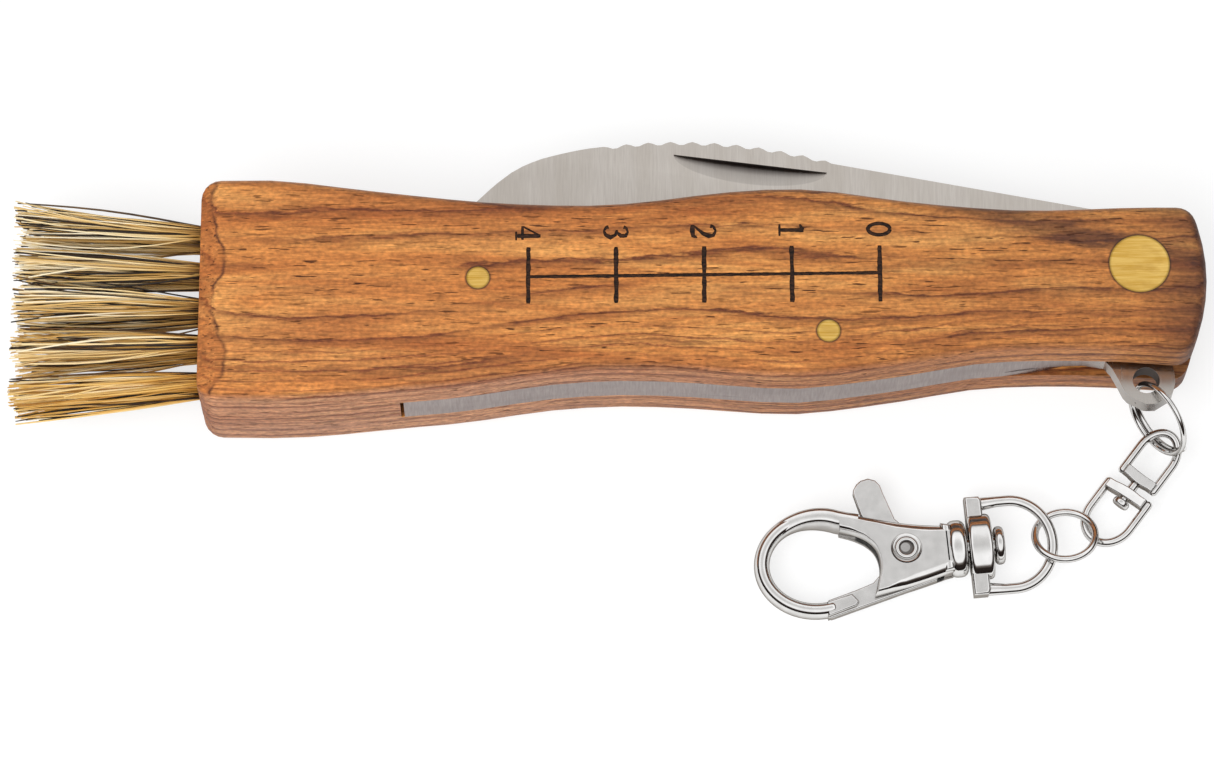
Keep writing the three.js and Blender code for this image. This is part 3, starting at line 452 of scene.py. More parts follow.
burn([(x / 2, ruler_level(x / 2), 0.36 + 0.1 * shaky.random()) for x in range(-40, 41)])
for number, strokes in figure_strokes.items():
    mark_x = FIRST_MARK - MARK_STEP * number
    shift = -0.06 * number
    burn([(mark_x + 0.06 * shaky.random(), -1.4 + shift + i * 0.62, 0.43 + 0.15 * shaky.random())
          for i in range(12)])
    figure_y = 7.4 + 2 * shift
    for stroke in strokes:
        burn([(mark_x + (v - 0.5) * FIGURE_HEIGHT, figure_y - (u - 0.3) * FIGURE_HEIGHT, w * FIGURE_HEIGHT)
              for u, v, w in stroke])

# Charred wood: nearly black, dry and crumbly, with brown showing through at the thin places.
charred_wood, shader, spot = new_finish("charred_wood")
crumb = grain((0.7, 0.25, 0.25), 4.0)
char = add("ValToRGB", [crumb], stops=((0.4, "#17100d"), (0.8, "#4a2d1c")))
dry = add("MapRange", [crumb, 0, 1, 0.95, 0.75])
bump = add("Bump", {"Strength": 0.7, "Distance": 0.05 * MM, "Height": crumb})
connect(shader, {"Base Color": char, "Roughness": dry, "Normal": bump})

iron_mesh = bpy.data.meshes.new("branding_iron")
iron_mesh.from_pydata(burn_points, [], burn_faces)
iron_mesh.materials.append(charred_wood)
branding_iron = show("branding_iron", iron_mesh)
branding_iron.hide_render = branding_iron.hide_viewport = True

handle = finish_node("handle_block", oiled_hardwood)
handle.modifiers.clear()
handle.data.materials.append(charred_wood)
modify(handle, "one_skin", "WELD", merge_threshold=0.001 * MM)
modify(handle, "burnt_ruler", "BOOLEAN", object=branding_iron, operation="DIFFERENCE", solver="EXACT",
       use_self=True, material_mode="TRANSFER")
modify(handle, "clean_edges", "NODES", node_group=clean_edges)


# Two liners stand against the cheeks of the slot, and the back spring lies between them. All three
# are sheet steel, pinned through the wood and then ground flush with its edge, the grit running
# across the strip. The spring's tail turns down into a drilled tab for the lanyard.
# Ground spring steel: fine parallel scratches make it a soft grey that brightens along the strip.
# The scratches are drawn about four times as coarse as they are.
ground_steel, shader, spot = new_finish("ground_spring_steel")
scratch = grain((0.22, 3, 3), 3.0, 0.6)
cloudy = add("MapRange", [grain((9, 3, 3), 3.0), 0.5, 0.75, 0, 0.4])
grey = add("ValToRGB", [scratch], stops=((0.3, "#8f8583"), (0.7, "#ada4a2")))
grey = stain(grey, "#7f7573", cloudy)
# The tab is polished brighter and is darker on its upright sides; painted shade darkens the wall of its hole.
TAB_HOLE = (50.6, -8.6)
TAB_MIDDLE = (50.6, -10.0)
HOLE_REACH = 2.6
on_tab = add("MapRange", [how_far((*TAB_MIDDLE, MIDDLE_Z)), 8.5, 5.0, 0, 0.85])
grey = stain(grey, "#cfcbc5", on_tab)
upright_wall = add("SeparateXYZ", [spot.outputs["Normal"]]).outputs["Z"]
upright_wall = add("Math", [upright_wall], operation="ABSOLUTE")
upright_wall = add("MapRange", [upright_wall, 0.6, 0.3, 0, 0.85])
# Painted shade darkens the hole's wall, which is also made rough and not metallic.
in_hole = add("Math", [how_far((*TAB_HOLE, MIDDLE_Z)), HOLE_REACH], operation="LESS_THAN")
in_hole = add("Math", [in_hole, upright_wall], operation="MULTIPLY")
grey = stain(grey, "#5c5450", on_tab, upright_wall, 0.6)
grey = stain(grey, "#3b2f2a", in_hole)
bare_metal = add("Math", [1.0, in_hole], operation="SUBTRACT")
rough = add("MapRange", [scratch, 0, 1, 0.3, 0.5])
polish = add("MapRange", [on_tab, 0, 1, 0, 0.2])
rough = add("Math", [rough, polish], operation="SUBTRACT")
rough = add("Math", [rough, in_hole], operation="MAXIMUM")
bump = add("Bump", {"Strength": 0.35, "Distance": 0.01 * MM, "Height": scratch})
connect(shader, {"Base Color": grey, "Metallic": bare_metal, "Roughness": rough, "Normal": bump})

for name in ("rear_liner", "front_liner", "back_spring"):
    finish_node(name, ground_steel)

# Tumbling takes the sharpness off the spring's edges.
EDGE_EASE = 0.2
spring = cad_nodes["back_spring"]
spring.modifiers.clear()
modify(spring, "one_skin", "WELD", merge_threshold=0.001 * MM)
modify(spring, "flat_faces", "DECIMATE", decimate_type="DISSOLVE", angle_limit=math.radians(0.4))
modify(spring, "eased_edges", "BEVEL", limit_method="ANGLE", angle_limit=math.radians(40),
       width=EDGE_EASE * MM, segments=2, use_clamp_overlap=True)
modify(spring, "clean_edges", "NODES", node_group=clean_edges)
even_flats(spring)


# The blade is stamped from stainless sheet, ground thin along its hidden edge, with a scalloped thumb
# grip filed along the crown and a half-moon nick cut in its face for the thumbnail.
# Satin stainless: belt finished across the blade, so fine upright lines break a soft grey sheen.
# The lines are drawn about three times as coarse as they are.
satin_blade, shader, spot = new_finish("satin_stainless_blade")
belt = grain((0.2, 4, 3), 3.0, 0.7)
sheen = add("MapRange", [grain((3, 24, 5), 2.0), 0.4, 0.7, 0, 0.35])
satin = add("ValToRGB", [belt], stops=((0.3, "#c8c1ba"), (0.7, "#d8d2cb")))
satin = stain(satin, "#b8afa4", sheen)
# The nick is pressed in: painted shade darkens its slope as it goes down, and paints the wall at its foot
# dark.
NICK_MIDDLE = (5.6, 17.0, 9.0)
NICK_DEPTH = 0.6
NICK_REACH = 9.6
near_nick = add("Math", [how_far(NICK_MIDDLE), NICK_REACH], operation="LESS_THAN")
height_mm = add("SeparateXYZ", [in_mm()]).outputs["Z"]
sunk = add("MapRange", [height_mm, NICK_MIDDLE[2], NICK_MIDDLE[2] - NICK_DEPTH])
slope_share = add("ValToRGB", [sunk], stops=(
    (0, 0.0), (0.015, 0.0), (0.04, 0.2), (0.3, 0.4), (0.55, 0.66), (1, 0.9)))
facing = add("SeparateXYZ", [spot.outputs["Normal"]])
on_slope = add("Math", [facing.outputs["Z"], 0.5], operation="GREATER_THAN")
on_slope = add("Math", [slope_share, on_slope], operation="MULTIPLY")
on_wall = add("MapRange", [facing.outputs["Y"], -0.3, -0.6, 0, 0.7])
nick_painted_shade = add("Math", [on_slope, on_wall], operation="MAXIMUM")
satin = stain(satin, "#3f383a", nick_painted_shade, near_nick)
rough = add("MapRange", [belt, 0, 1, 0.3, 0.46])
bump = add("Bump", {"Strength": 0.3, "Distance": 0.008 * MM, "Height": belt})
connect(shader, {"Base Color": satin, "Metallic": 1.0, "Roughness": rough, "Normal": bump})

finish_node("blade", satin_blade)


# The blade turns on a brass rivet with two wide flush heads, and two plain brass pins hold the
# spring. All are driven in, filed flush with the wood and finished with the grain.
# Brushed brass: yellow metal with fine lines along the handle, a little duller where it has aged.
# The lines are drawn about three times as coarse as they are.
brushed_brass, shader, spot = new_finish("brushed_brass")
brushed = grain((5, 0.2, 0.2), 3.0, 0.65)
aged = add("MapRange", [grain((2.4, 1.1, 1.1), 4.0), 0.48, 0.7, 0, 0.35])
yellow = add("ValToRGB", [brushed], stops=((0.3, "#dcab48"), (0.7, "#ffd980")))
yellow = stain(yellow, "#c08f3e", aged)
yellow = stain(yellow, "#6e4f1c", add("MapRange", [off_brass(), 0.26, 0.0, 0, 0.75]))
rough = add("MapRange", [brushed, 0, 1, 0.26, 0.46])
bump = add("Bump", {"Strength": 0.35, "Distance": 0.01 * MM, "Height": brushed})
connect(shader, {"Base Color": yellow, "Metallic": 1.0, "Roughness": rough, "Normal": bump})

for name in ("pivot_rivet", "rear_spring_pin", "middle_spring_pin"):
    finish_node(name, brushed_brass)


# The brush is two rows of five tufts, staple-set in holes drilled in the butt: a folded bundle of
# natural bristle is driven in over a little steel anchor, and the ends are cut to one length.
ROW_PITCH = 4.7
TUFT_PITCH = 4.38
TUFT_PLACES = [(tuft - 2) * TUFT_PITCH for tuft in range(5)]
TUFT_RADIUS = 0.84
HOLE_RADIUS = 0.97
HOLE_SIDES = 28
BED_DEEP = 1.5
SET_DEEP = 1.2
CLUMPS_IN_TUFT = 6
STRANDS_IN_TUFT = 80
STRAND_RADII = (0.08, 0.145)
STRAND_RINGS = 8
STRAND_SIDES = 5
SUNFLOWER_TURN = 2.39996
CUT_LENGTH = 21.7
TIP_CLEAR = 0.3
TIP_LOW_Z = 2.2
TIP_HIGH_Z = 13.4


def part_from(points, faces):
    """A loose part, as points in millimetres and faces, to be set in a piece."""
    return [Vector(p) for p in points], faces


def moved(part, matrix):
    """The same part carried to another place."""
    return [matrix @ p for p in part[0]], part[1]


def make_piece(name, parts, material, place=Matrix(), smooth_angle=38):
    """One object from several parts at a place, with its flat faces flat and its round ones smooth."""
    points, faces = [], []
    for part_points, part_faces in parts:
        faces += [[len(points) + i for i in face] for face in part_faces]
        points += [place @ p * MM for p in part_points]
    mesh = bpy.data.meshes.new(name)
    mesh.from_pydata(points, [], faces)
    mesh.validate()
    mesh.shade_smooth()
    mesh.set_sharp_from_angle(angle=math.radians(smooth_angle))
    mesh.materials.append(material)
    made = show(name, mesh)
    even_flats(made)
    return made


def skin(rings, sides):
    """The faces over so many rings of points, closed at both ends."""
    faces = []
    for i in range(rings - 1):
        for j in range(sides):
            a, b = i * sides + j, i * sides + (j + 1) % sides
            faces.append([a, b, b + sides, a + sides])
    end = (rings - 1) * sides
    return faces + [list(range(sides))[::-1], list(range(end, end + sides))]


def tube(path, section, end_round=0.0, swell=None):
    """A bar that carries a section of (sideways, up) points along a path; its ends can be eased, and
    swell gives the section's own width and height factors for each point of the path."""
    rings = []
    for i, here in enumerate(path):
        run = (path[min(i + 1, len(path) - 1)] - path[max(i - 1, 0)]).normalized()
        sideways = run.cross(Vector((0, 0, 1))).normalized()
        wide, high = swell[i] if swell else (1.0, 1.0)
        rings.append((here, sideways * wide, sideways.cross(run) * high, 1.0))
        if end_round and i in (0, len(path) - 1):
            outward = run * end_round * (1 if i else -1)
            caps = [(here + outward * push, *rings[-1][1:3], size) for push, size in
                    ((0.28, 0.94), (0.62, 0.8), (1.0, 0.45))]
            rings = rings + caps if i else caps[::-1] + rings
    points = [here + sideways * a * size + upward * b * size
              for here, sideways, upward, size in rings for a, b in section]
    return points, skin(len(rings), len(section))


def oval(width, height, sides, squareness=2.0):
    """A section in (sideways, up) points, from round at 2 towards square above it."""
    points = []
    for i in range(sides):
        angle = 2 * math.pi * i / sides
        c, s = math.cos(angle), math.sin(angle)
        points.append((width / 2 * math.copysign(abs(c) ** (2 / squareness), c),
                       height / 2 * math.copysign(abs(s) ** (2 / squareness), s)))
    return points


# Natural bristle: split hog and fibre, dry and slightly glossy along each strand, from straw and
# cream to dark brown. Each strand has its own tone, and the lower tufts run golden. The strands are
# drawn fewer and about half as thick again as real ones, so that each one shows.
natural_bristle, shader, spot = new_finish("natural_bristle")
streak = grain((4, 0.22, 0.22), 3.0)
streak_step = add("MapRange", [streak, 0, 1, -0.12, 0.12])
# The tone attribute also carries painted shade, away from the light and near each root.
own_tone_and_painted_shade = add("Attribute", attribute_name="tone").outputs["Fac"]
tone = add("Math", [own_tone_and_painted_shade, streak_step], operation="ADD")
strand_colour = add("ValToRGB", [tone], stops=(
    (0, "#15100d"), (0.14, "#2c1e15"), (0.24, "#70522e"), (0.4, "#b58a45"), (0.6, "#dcb876"),
    (0.8, "#f0dcae"), (1, "#fbf3dd")))
gold = add("Attribute", attribute_name="gold").outputs["Fac"]
golden = add("Mix", {0: gold, 6: strand_colour, 7: colour("#f4d680")}, data_type="RGBA",
             blend_type="MULTIPLY")
rough = add("MapRange", [streak, 0, 1, 0.42, 0.62])
bump = add("Bump", {"Strength": 0.3, "Distance": 0.02 * MM, "Height": streak})
connect(shader, {"Base Color": golden.outputs[2], "Roughness": rough, "Normal": bump, "IOR": 1.55})

brush_low, brush_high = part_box("front_bristles")
for row, side_name in ((-1, "rear"), (1, "front")):
    chance = random.Random(20 + row)
    row_z = MIDDLE_Z + row * ROW_PITCH / 2
    points, faces, tones_and_painted_shade, golds = [], [], [], []
    for tuft, tuft_y in enumerate(TUFT_PLACES):
        clumps = [chance.uniform(-2.1, 2.1) for _ in range(CLUMPS_IN_TUFT)]
        for count in range(STRANDS_IN_TUFT):
            turn = count * SUNFLOWER_TURN + tuft
            off = (TUFT_RADIUS - 0.1) * math.sqrt((count + 0.5) / STRANDS_IN_TUFT)
            side_y, side_z = off * math.cos(turn), off * math.sin(turn)
            stray = chance.random()
            # Most strands reach the cut and a few are broken short.
            short = 1.9 * chance.random() ** 1.6 if stray > 0.07 else 0.7 + 8 * chance.random()
            reach = CUT_LENGTH - short
            spread = 2.35 + 0.75 * chance.random()
            # A clump leans together, the tuft spreads towards its tips, and strays cross their neighbours.
            tip_y = tuft_y * 1.225 + side_y * spread * 0.55 + clumps[count % CLUMPS_IN_TUFT] * 0.55
            tip_y += chance.uniform(-0.6, 0.6) * (3.6 if stray > 0.84 else 1)
            tip_z = MIDDLE_Z + row * ROW_PITCH * 0.63 + side_z * 2.2 + chance.uniform(-0.45, 0.45)
            tip_y = max(brush_low.y / MM + TIP_CLEAR, min(brush_high.y / MM - TIP_CLEAR, tip_y))
            tip_z = max(TIP_LOW_Z, min(TIP_HIGH_Z, tip_z))
            bow_y, bow_z = chance.uniform(-0.75, 0.75), chance.uniform(-0.35, 0.35)
            bow_y *= 2 if stray > 0.93 else 1
            thick = chance.uniform(*STRAND_RADII)
            # Fewer dark strands in the lower tufts; painted shade darkens more strands on the side away from
            # the light.
            tone, gold_share = chance.random(), chance.random()
            is_dark = chance.random() < (0.24 if tuft > 1 else 0.15)
            tone = 0.04 + 0.12 * tone if is_dark else 0.38 + 0.62 * tone ** 0.95
            if side_y * chance.random() > 0.33 and chance.random() < 0.45:
                tone = min(tone, 0.2)
            # Painted shade darkens each strand towards its root, less in the lower tufts.
            root_shade = 0.72 if tuft > 1 else 0.5
            faces += [[len(points) + i for i in face] for face in skin(STRAND_RINGS, STRAND_SIDES)]
            for step in range(STRAND_RINGS):
                share = step / (STRAND_RINGS - 1)
                x = BUTT_X + SET_DEEP - (reach + SET_DEEP) * share
                ease, bend = share ** 1.15, math.sin(math.pi * share)
                y = tuft_y + side_y + (tip_y - tuft_y - side_y) * ease + bow_y * bend
                z = row_z + side_z + (tip_z - row_z - side_z) * ease + bow_z * bend
                size = thick * (1.0 - 0.35 * share ** 3)
                for corner in range(STRAND_SIDES):
                    angle = turn + corner * 2 * math.pi / STRAND_SIDES
                    corner_at = (x, y + size * math.cos(angle), z + size * math.sin(angle))
                    points.append([n * MM for n in corner_at])
                    tones_and_painted_shade.append(tone * (1 - root_shade * (1 - share) ** 4))
                    golds.append((0.3 + 0.6 * gold_share) * max(0.0, 1 - tuft / 2.8))
    mesh = bpy.data.meshes.new(f"{side_name}_bristle_row")
    mesh.from_pydata(points, [], faces)
    for attribute_name, values in (("tone", tones_and_painted_shade), ("gold", golds)):
        mesh.attributes.new(attribute_name, "FLOAT", "POINT").data.foreach_set("value", values)
    mesh.shade_smooth()
    mesh.materials.append(natural_bristle)
    bristles = show(f"{side_name}_bristle_row", mesh)
    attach(bristles, "handle")
    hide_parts(f"{side_name}_bristles")

    # The wood between the holes of a row, cut from the same block as the handle.
    half_z = ROW_PITCH * 0.45
    wall_radius = HOLE_RADIUS * 0.96
    points, faces = [], []
    for tuft_y in TUFT_PLACES:
        first = len(points)
        for i in range(HOLE_SIDES):
            angle = 2 * math.pi * (i + 0.5) / HOLE_SIDES
            c, s = math.cos(angle), math.sin(angle)
            grow = min(TUFT_PITCH / 2 / max(abs(c), 1e-6), half_z / max(abs(s), 1e-6))
            points += [(BUTT_X + x, tuft_y + c * r, row_z + s * r) for x, r in (
                (0, grow), (0, HOLE_RADIUS), (0.12, wall_radius), (BED_DEEP * 0.95, wall_radius))]
            a, b = first + 4 * i, first + 4 * ((i + 1) % HOLE_SIDES)
            faces += [(a + k, b + k, b + k + 1, a + k + 1) for k in range(3)]
        faces.append([first + 4 * i + 3 for i in range(HOLE_SIDES)])
    bed = make_piece(f"{side_name}_tuft_bed", [part_from(points, faces)], oiled_hardwood)
    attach(bed, "handle")
    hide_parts(f"{side_name}_bristles")
    for number in range(1, 6):
        finish_node(f"{side_name}_tuft_anchor_{number}", ground_steel)


# A split ring of hard nickelled wire hangs in the tab's hole: a turn and a half, wound flat, so that
# half of it shows double.
RING_RADIUS = 4.37
RING_WIRE = 0.65
RING_PITCH = 0.72
RING_TURNS = 1.5
RING_START = -8


def facing_frame(x, y, z, normal):
    """The place of a round piece whose own axis points along the normal, with one side kept level."""
    front = Vector(normal).normalized()
    level = -Vector((0, 0, 1)).cross(front).normalized()
    upward = front.cross(level)
    turned_frame = Matrix((level, upward, front)).transposed().to_4x4()
    return Matrix.Translation((TAB_HOLE[0] + x, TAB_HOLE[1] + y, z)) @ turned_frame


# Bright nickel plate over brass wire and zinc castings: a mirror with a faint warm grey, slightly
# uneven from the casting under it, with a few hair scratches and a duller film on the flat faces.
bright_nickel, shader, spot = new_finish("bright_nickel_plate")
uneven = grain((1.6, 1.6, 1.6), 2.0)
hairline = grain((0.16, 2.2, 0.6), 3.0)
plate_colour = add("ValToRGB", [uneven], stops=((0.3, "#dedddc"), (0.7, "#edeceb")))
# Painted shade darkens the crevices and the clasp rivet's hollow, round its lighter floor.
CLASP_AT = (23.1, -27.25)
HOLLOW_FLOOR = (22.98, -27.17)
crevice = add("AmbientOcclusion", {"Distance": 0.8 * MM}, samples=6, only_local=True)
painted_recess_shade = add("MapRange", [crevice.outputs["AO"], 0.7, 0.3, 0, 0.75])
hollow = add("MapRange", [how_far((*CLASP_AT, 0), (1, 1, 0)), 0.82, 0.74, 0, 0.85])
hollow_floor = add("MapRange", [how_far((*HOLLOW_FLOOR, 0), (1, 1, 0)), 0.58, 0.5, 0, 0.5])
hollow = add("Math", [hollow, hollow_floor], operation="SUBTRACT", use_clamp=True)
painted_recess_shade = add("Math", [painted_recess_shade, hollow], operation="MAXIMUM")
plate_colour = stain(plate_colour, "#4e4641", painted_recess_shade)
facing_up = add("SeparateXYZ", [spot.outputs["Normal"]]).outputs["Z"]
flat_film = add("MapRange", [facing_up, 0.95, 0.998, 0, 0.18])
rough = add("MapRange", [hairline, 0, 1, 0.04, 0.11])
rough = add("Math", [rough, flat_film], operation="ADD")
bump = add("Bump", {"Strength": 0.2, "Distance": 0.01 * MM, "Height": uneven})
bump = add("Bump", {"Strength": 0.12, "Distance": 0.003 * MM, "Height": hairline, "Normal": bump})
connect(shader, {"Base Color": plate_colour, "Metallic": 1.0, "Specular Tint": colour("#8f8881"),
                 "Roughness": rough, "Normal": bump})

coil = []
RING_STEPS = 144
for i in range(4, RING_STEPS + 1):
    share = i / RING_STEPS
    angle = math.radians(RING_START) + share * RING_TURNS * 2 * math.pi
    coil.append(Vector((RING_RADIUS * math.cos(angle), RING_RADIUS * math.sin(angle),
                        (0.5 - share) * RING_TURNS * RING_PITCH)))
ring_place = facing_frame(1.66, -3.67, 6.34, (0.803, 0.556, -0.214))
split_ring = make_piece("wound_split_ring", [tube(coil, oval(RING_WIRE, RING_WIRE, 14))], bright_nickel,
                        ring_place)
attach(split_ring, "split_ring")
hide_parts("split_ring")


# Two bowed links of nickelled brass make the swivel, each a bent bar on a flat strap. The upper link's
# post passes through the lower link's strap and is riveted over inside it, so that the two turn freely.
LINK_BAR = 0.95
LINK_BASE = 1.1
LINK_GAP = 0.9
LOWER_LINK = (6.65, 7.7)
UPPER_LINK = (5.3, 7.5)
POST_RADIUS = 0.55
HEAD_RADIUS = 1.0
HEAD_LENGTH = 0.85
STRAP_HEIGHT = 1.9
STRAP_START = STRAP_ARCH = STRAP_EASE = 0.16


def bow(start, bend_start, end, half, bends):
    """The middle line of a bow: two straight legs and a rounded end along +X."""
    legs = [start + (bend_start - start) * i / 4 for i in range(4)]
    points = [Vector((x, -half, 0)) for x in legs]
    for i in range(bends + 1):
        angle = (i / bends - 0.5) * math.pi
        points.append(Vector((bend_start + (end - bend_start) * math.cos(angle), half * math.sin(angle), 0)))
    return points + [Vector((x, half, 0)) for x in reversed(legs)]


def lathe(profile, steps, flatten=1.0):
    """A turned part about X from (radius, x) points; it can be flattened in height."""
    points, faces, count = [], [], len(profile)
    for i in range(steps):
        angle = 2 * math.pi * i / steps
        points += [(x, r * math.cos(angle), r * math.sin(angle) * flatten) for r, x in profile]
    for i in range(steps):
        for j in range(count - 1):
            a, b = i * count + j, ((i + 1) % steps) * count + j
            faces.append([a, a + 1, b + 1, b])
    return part_from(points, faces)


def knob(start, end, radius, ease, steps, flatten=1.0):
    """A turned knob along X with both rims rounded by the ease."""
    rim = [(radius - ease + ease * math.sin(turn), ease - ease * math.cos(turn))
           for turn in (k * math.pi / 8 for k in range(5))]
    profile = [(0, start), *((r, start + x) for r, x in rim), *((r, end - x) for r, x in rim[::-1]), (0, end)]
    return lathe(profile, steps, flatten)


def inset(outline, distance, shares):
    """An outline moved inwards, each side by its own share of the distance; it runs anticlockwise."""
    moved_in = []
    count = len(outline)
    for i, (x, y) in enumerate(outline):
        here = Vector((x, y))
        a = (here - Vector(outline[i - 1])).normalized()
        b = (Vector(outline[(i + 1) % count]) - here).normalized()
        normal_a, normal_b = Vector((-a.y, a.x)), Vector((-b.y, b.x))
        reach_a, reach_b = distance * shares[i - 1], distance * shares[i]
        turn = normal_a.x * normal_b.y - normal_a.y * normal_b.x
        if abs(turn) < 0.3:
            step = (normal_a + normal_b).normalized() * (reach_a + reach_b) / 2
        else:
            step = Vector((reach_a * normal_b.y - reach_b * normal_a.y,
                           normal_a.x * reach_b - normal_b.x * reach_a)) / turn
        moved_in.append((x + step.x, y + step.y))
    return moved_in


def stamped(outline, steps, shares=None):
    """A plate built up through (inset, height) steps of its outline, closed at both ends."""
    shares = shares or [1.0] * len(outline)
    area = sum(x0 * y1 - x1 * y0 for (x0, y0), (x1, y1) in zip(outline, outline[1:] + outline[:1]))
    if area < 0:
        outline, shares = outline[::-1], shares[-2::-1] + shares[-1:]
    points = [(x, y, height) for distance, height in steps for x, y in inset(outline, distance, shares)]
    return part_from(points, skin(len(steps), len(outline)))


def rounded_steps(half, ease):
    """Steps for a stamped plate of this half height with both its edges rounded by the ease."""
    lower = [(ease * (1 - math.sin(turn)), ease * (1 - math.cos(turn)) - half)
             for turn in (k * math.pi / 8 for k in range(5))]
    return lower + [(distance, -height) for distance, height in reversed(lower)]


def link_parts(width, length):
    """The bow of a swivel link of this width and length, and its strap with the middle arched outwards."""
    path = bow(LINK_BAR * 0.45, length * 0.53, length - LINK_BAR / 2, (width - LINK_BAR) / 2, 28)
    across = [(i / 6 - 1) for i in range(13)]
    rises = [STRAP_ARCH * max(0.0, 1 - (share / 0.7) ** 2) for share in across]
    half = width / 2 - 0.75 * LINK_BAR
    outline = [(LINK_BASE * 1.2 - 0.35 * rise, share * half) for share, rise in zip(across, rises)]
    outline += [(STRAP_START - rise, share * half) for share, rise in zip(across[::-1], rises)]
    return [tube(path, oval(LINK_BAR, LINK_BAR, 24), end_round=LINK_BAR * 0.4),
            stamped(outline, rounded_steps(STRAP_HEIGHT / 2, STRAP_EASE))]


def turned(degrees, axis):
    """A turn about one axis."""
    return Matrix.Rotation(math.radians(degrees), 4, axis)


swivel_place = Matrix.Translation((TAB_HOLE[0] - 1.18, TAB_HOLE[1] - 10.59, 2.2))
swivel_place = swivel_place @ turned(-127.5, "Z") @ turned(6.6, "Y")
lower_place = swivel_place @ Matrix.Translation((LINK_GAP / 2, 0, 0)) @ turned(16.5, "X")
upper_place = swivel_place @ Matrix.Translation((-LINK_GAP / 2, 0, 0)) @ turned(-6, "X") @ turned(180, "Z")
lower_link = make_piece("lower_link", link_parts(*LOWER_LINK), bright_nickel, lower_place)
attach(lower_link, "lower_swivel_link")
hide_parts("lower_swivel_link")

head_start = -(LINK_GAP + LINK_BASE * 1.15 + 0.25)
post = knob(head_start - 0.4, LINK_BASE / 2, POST_RADIUS, 0.05, 24)
head = knob(head_start - HEAD_LENGTH, head_start, HEAD_RADIUS, 0.3, 32)
upper_link = make_piece("upper_link", [*link_parts(*UPPER_LINK), post, head], bright_nickel, upper_place)
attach(upper_link, "upper_swivel_link")
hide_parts("upper_swivel_link")


# A plain jump ring of nickelled wire joins the swivel to the clasp's eye. It is bent round and closed,
# so that its cut ends meet in a hairline seam.
JUMP_RADIUS = 3.45
JUMP_WIRE = 0.84
JUMP_STEPS = 96
SEAM_AT = 128
SEAM_GAP = 0.012
jump_frame = facing_frame(-9.21, -16.56, 2.56, (-0.076, 0.367, 0.927))
hoop = []
for i in range(JUMP_STEPS + 1):
    angle = math.radians(SEAM_AT) + (i / JUMP_STEPS) * (2 * math.pi - SEAM_GAP)
    hoop.append(Vector((JUMP_RADIUS * math.cos(angle), JUMP_RADIUS * math.sin(angle), 0)))
jump_ring = make_piece("round_jump_ring", [tube(hoop, oval(JUMP_WIRE, JUMP_WIRE, 18))], bright_nickel,
                       jump_frame)
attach(jump_ring, "jump_ring")
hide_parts("jump_ring")


# The clasp's eye is one casting of nickelled zinc: a bow on a flat strap, with a thick oval boss in
# its middle that turns on the clasp's axle.
clasp_place = Matrix.Translation((*CLASP_AT, 2.5)) @ turned(5, "Z")
eye_place = clasp_place @ turned(2.1, "X")
COLLAR_END = 7.0
EYE_START = 7.25
EYE_END = 17.35
EYE_WIDTH = 11.6
EYE_BAR = 1.05
EYE_BOSS = 2.7
BOSS_RADIUS = 3.85
COLLAR_RADIUS = 3.35
COLLAR_HEIGHT = 4.8
bend_x = EYE_START + (EYE_END - EYE_START) * 0.47
eye_path = bow(EYE_START + 0.7, bend_x, EYE_END - EYE_BAR / 2, (EYE_WIDTH - EYE_BAR) / 2, 36)
# The bow grows wider towards the strap, outwards round its end and inwards along its legs.
leg_sizes = []
for point in eye_path:
    spread = max(0.16, (1 - (point.x - EYE_START - EYE_BOSS * 0.7) / 3.0) * 0.42)
    leg_sizes.append((1 + spread, 1 + max(0.0, spread - 0.16) / 2))
    round_share = max(0.0, (point.x - bend_x) / (EYE_END - EYE_BAR / 2 - bend_x))
    outward = Vector((max(0.0, point.x - bend_x), point.y, 0)).normalized()
    point += outward * (2 * round_share - 1) * EYE_BAR * spread / 2
strap_x, strap_y = EYE_START + EYE_BOSS * 0.62, EYE_WIDTH / 2
nib_x, nib_y = EYE_START + EYE_BOSS * 0.72, EYE_WIDTH / 2 - 0.5
eye_strap = [(EYE_START, -strap_y), (strap_x, -strap_y), (nib_x, -nib_y), (nib_x, nib_y), (strap_x, strap_y),
             (EYE_START, strap_y)]
eye_parts = [tube(eye_path, oval(EYE_BAR, EYE_BAR, 24), swell=leg_sizes),
             stamped(eye_strap, rounded_steps(EYE_BAR, 0.34)),
             knob(EYE_START, EYE_START + EYE_BOSS, BOSS_RADIUS, 0.55, 56, COLLAR_HEIGHT / 2 / BOSS_RADIUS)]
clasp_eye = make_piece("cast_eye", eye_parts, bright_nickel, eye_place)
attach(clasp_eye, "clasp_eye")
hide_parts("clasp_eye")


# The clasp's body is cast in nickelled zinc in one with its hook: two cheeks with a channel between
# them for the lever, a rounded shoulder along the lower edge, a collar, and an axle with a headed end.
HOOK_CENTRE = (-10.3, -0.54)
HOOK_REACH = 6.25
HOOK_RISE = 5.5
HOOK_ROOT_AT = 64
HOOK_TIP_AT = 283.5
HOOK_STEPS = 56
HOOK_BAR = (1.78, 2.55)
BODY_HALF = 2.1
CHANNEL_HALF = 0.85
CHEEK_REACH = (7.3, 5)
AXLE_RADIUS = 1.1
AXLE_HEAD_RADIUS = 2.2
hook_points = []
for i in range(HOOK_STEPS + 1):
    angle = math.radians(HOOK_TIP_AT + (HOOK_ROOT_AT - HOOK_TIP_AT) * i / HOOK_STEPS)
    hook_points.append(Vector((HOOK_CENTRE[0] + HOOK_REACH * math.cos(angle),
                               HOOK_CENTRE[1] + HOOK_RISE * math.sin(angle), 0)))
hook_points += [Vector((-6.4, 4.05, 0)), Vector((-5.2, 3.75, 0))]


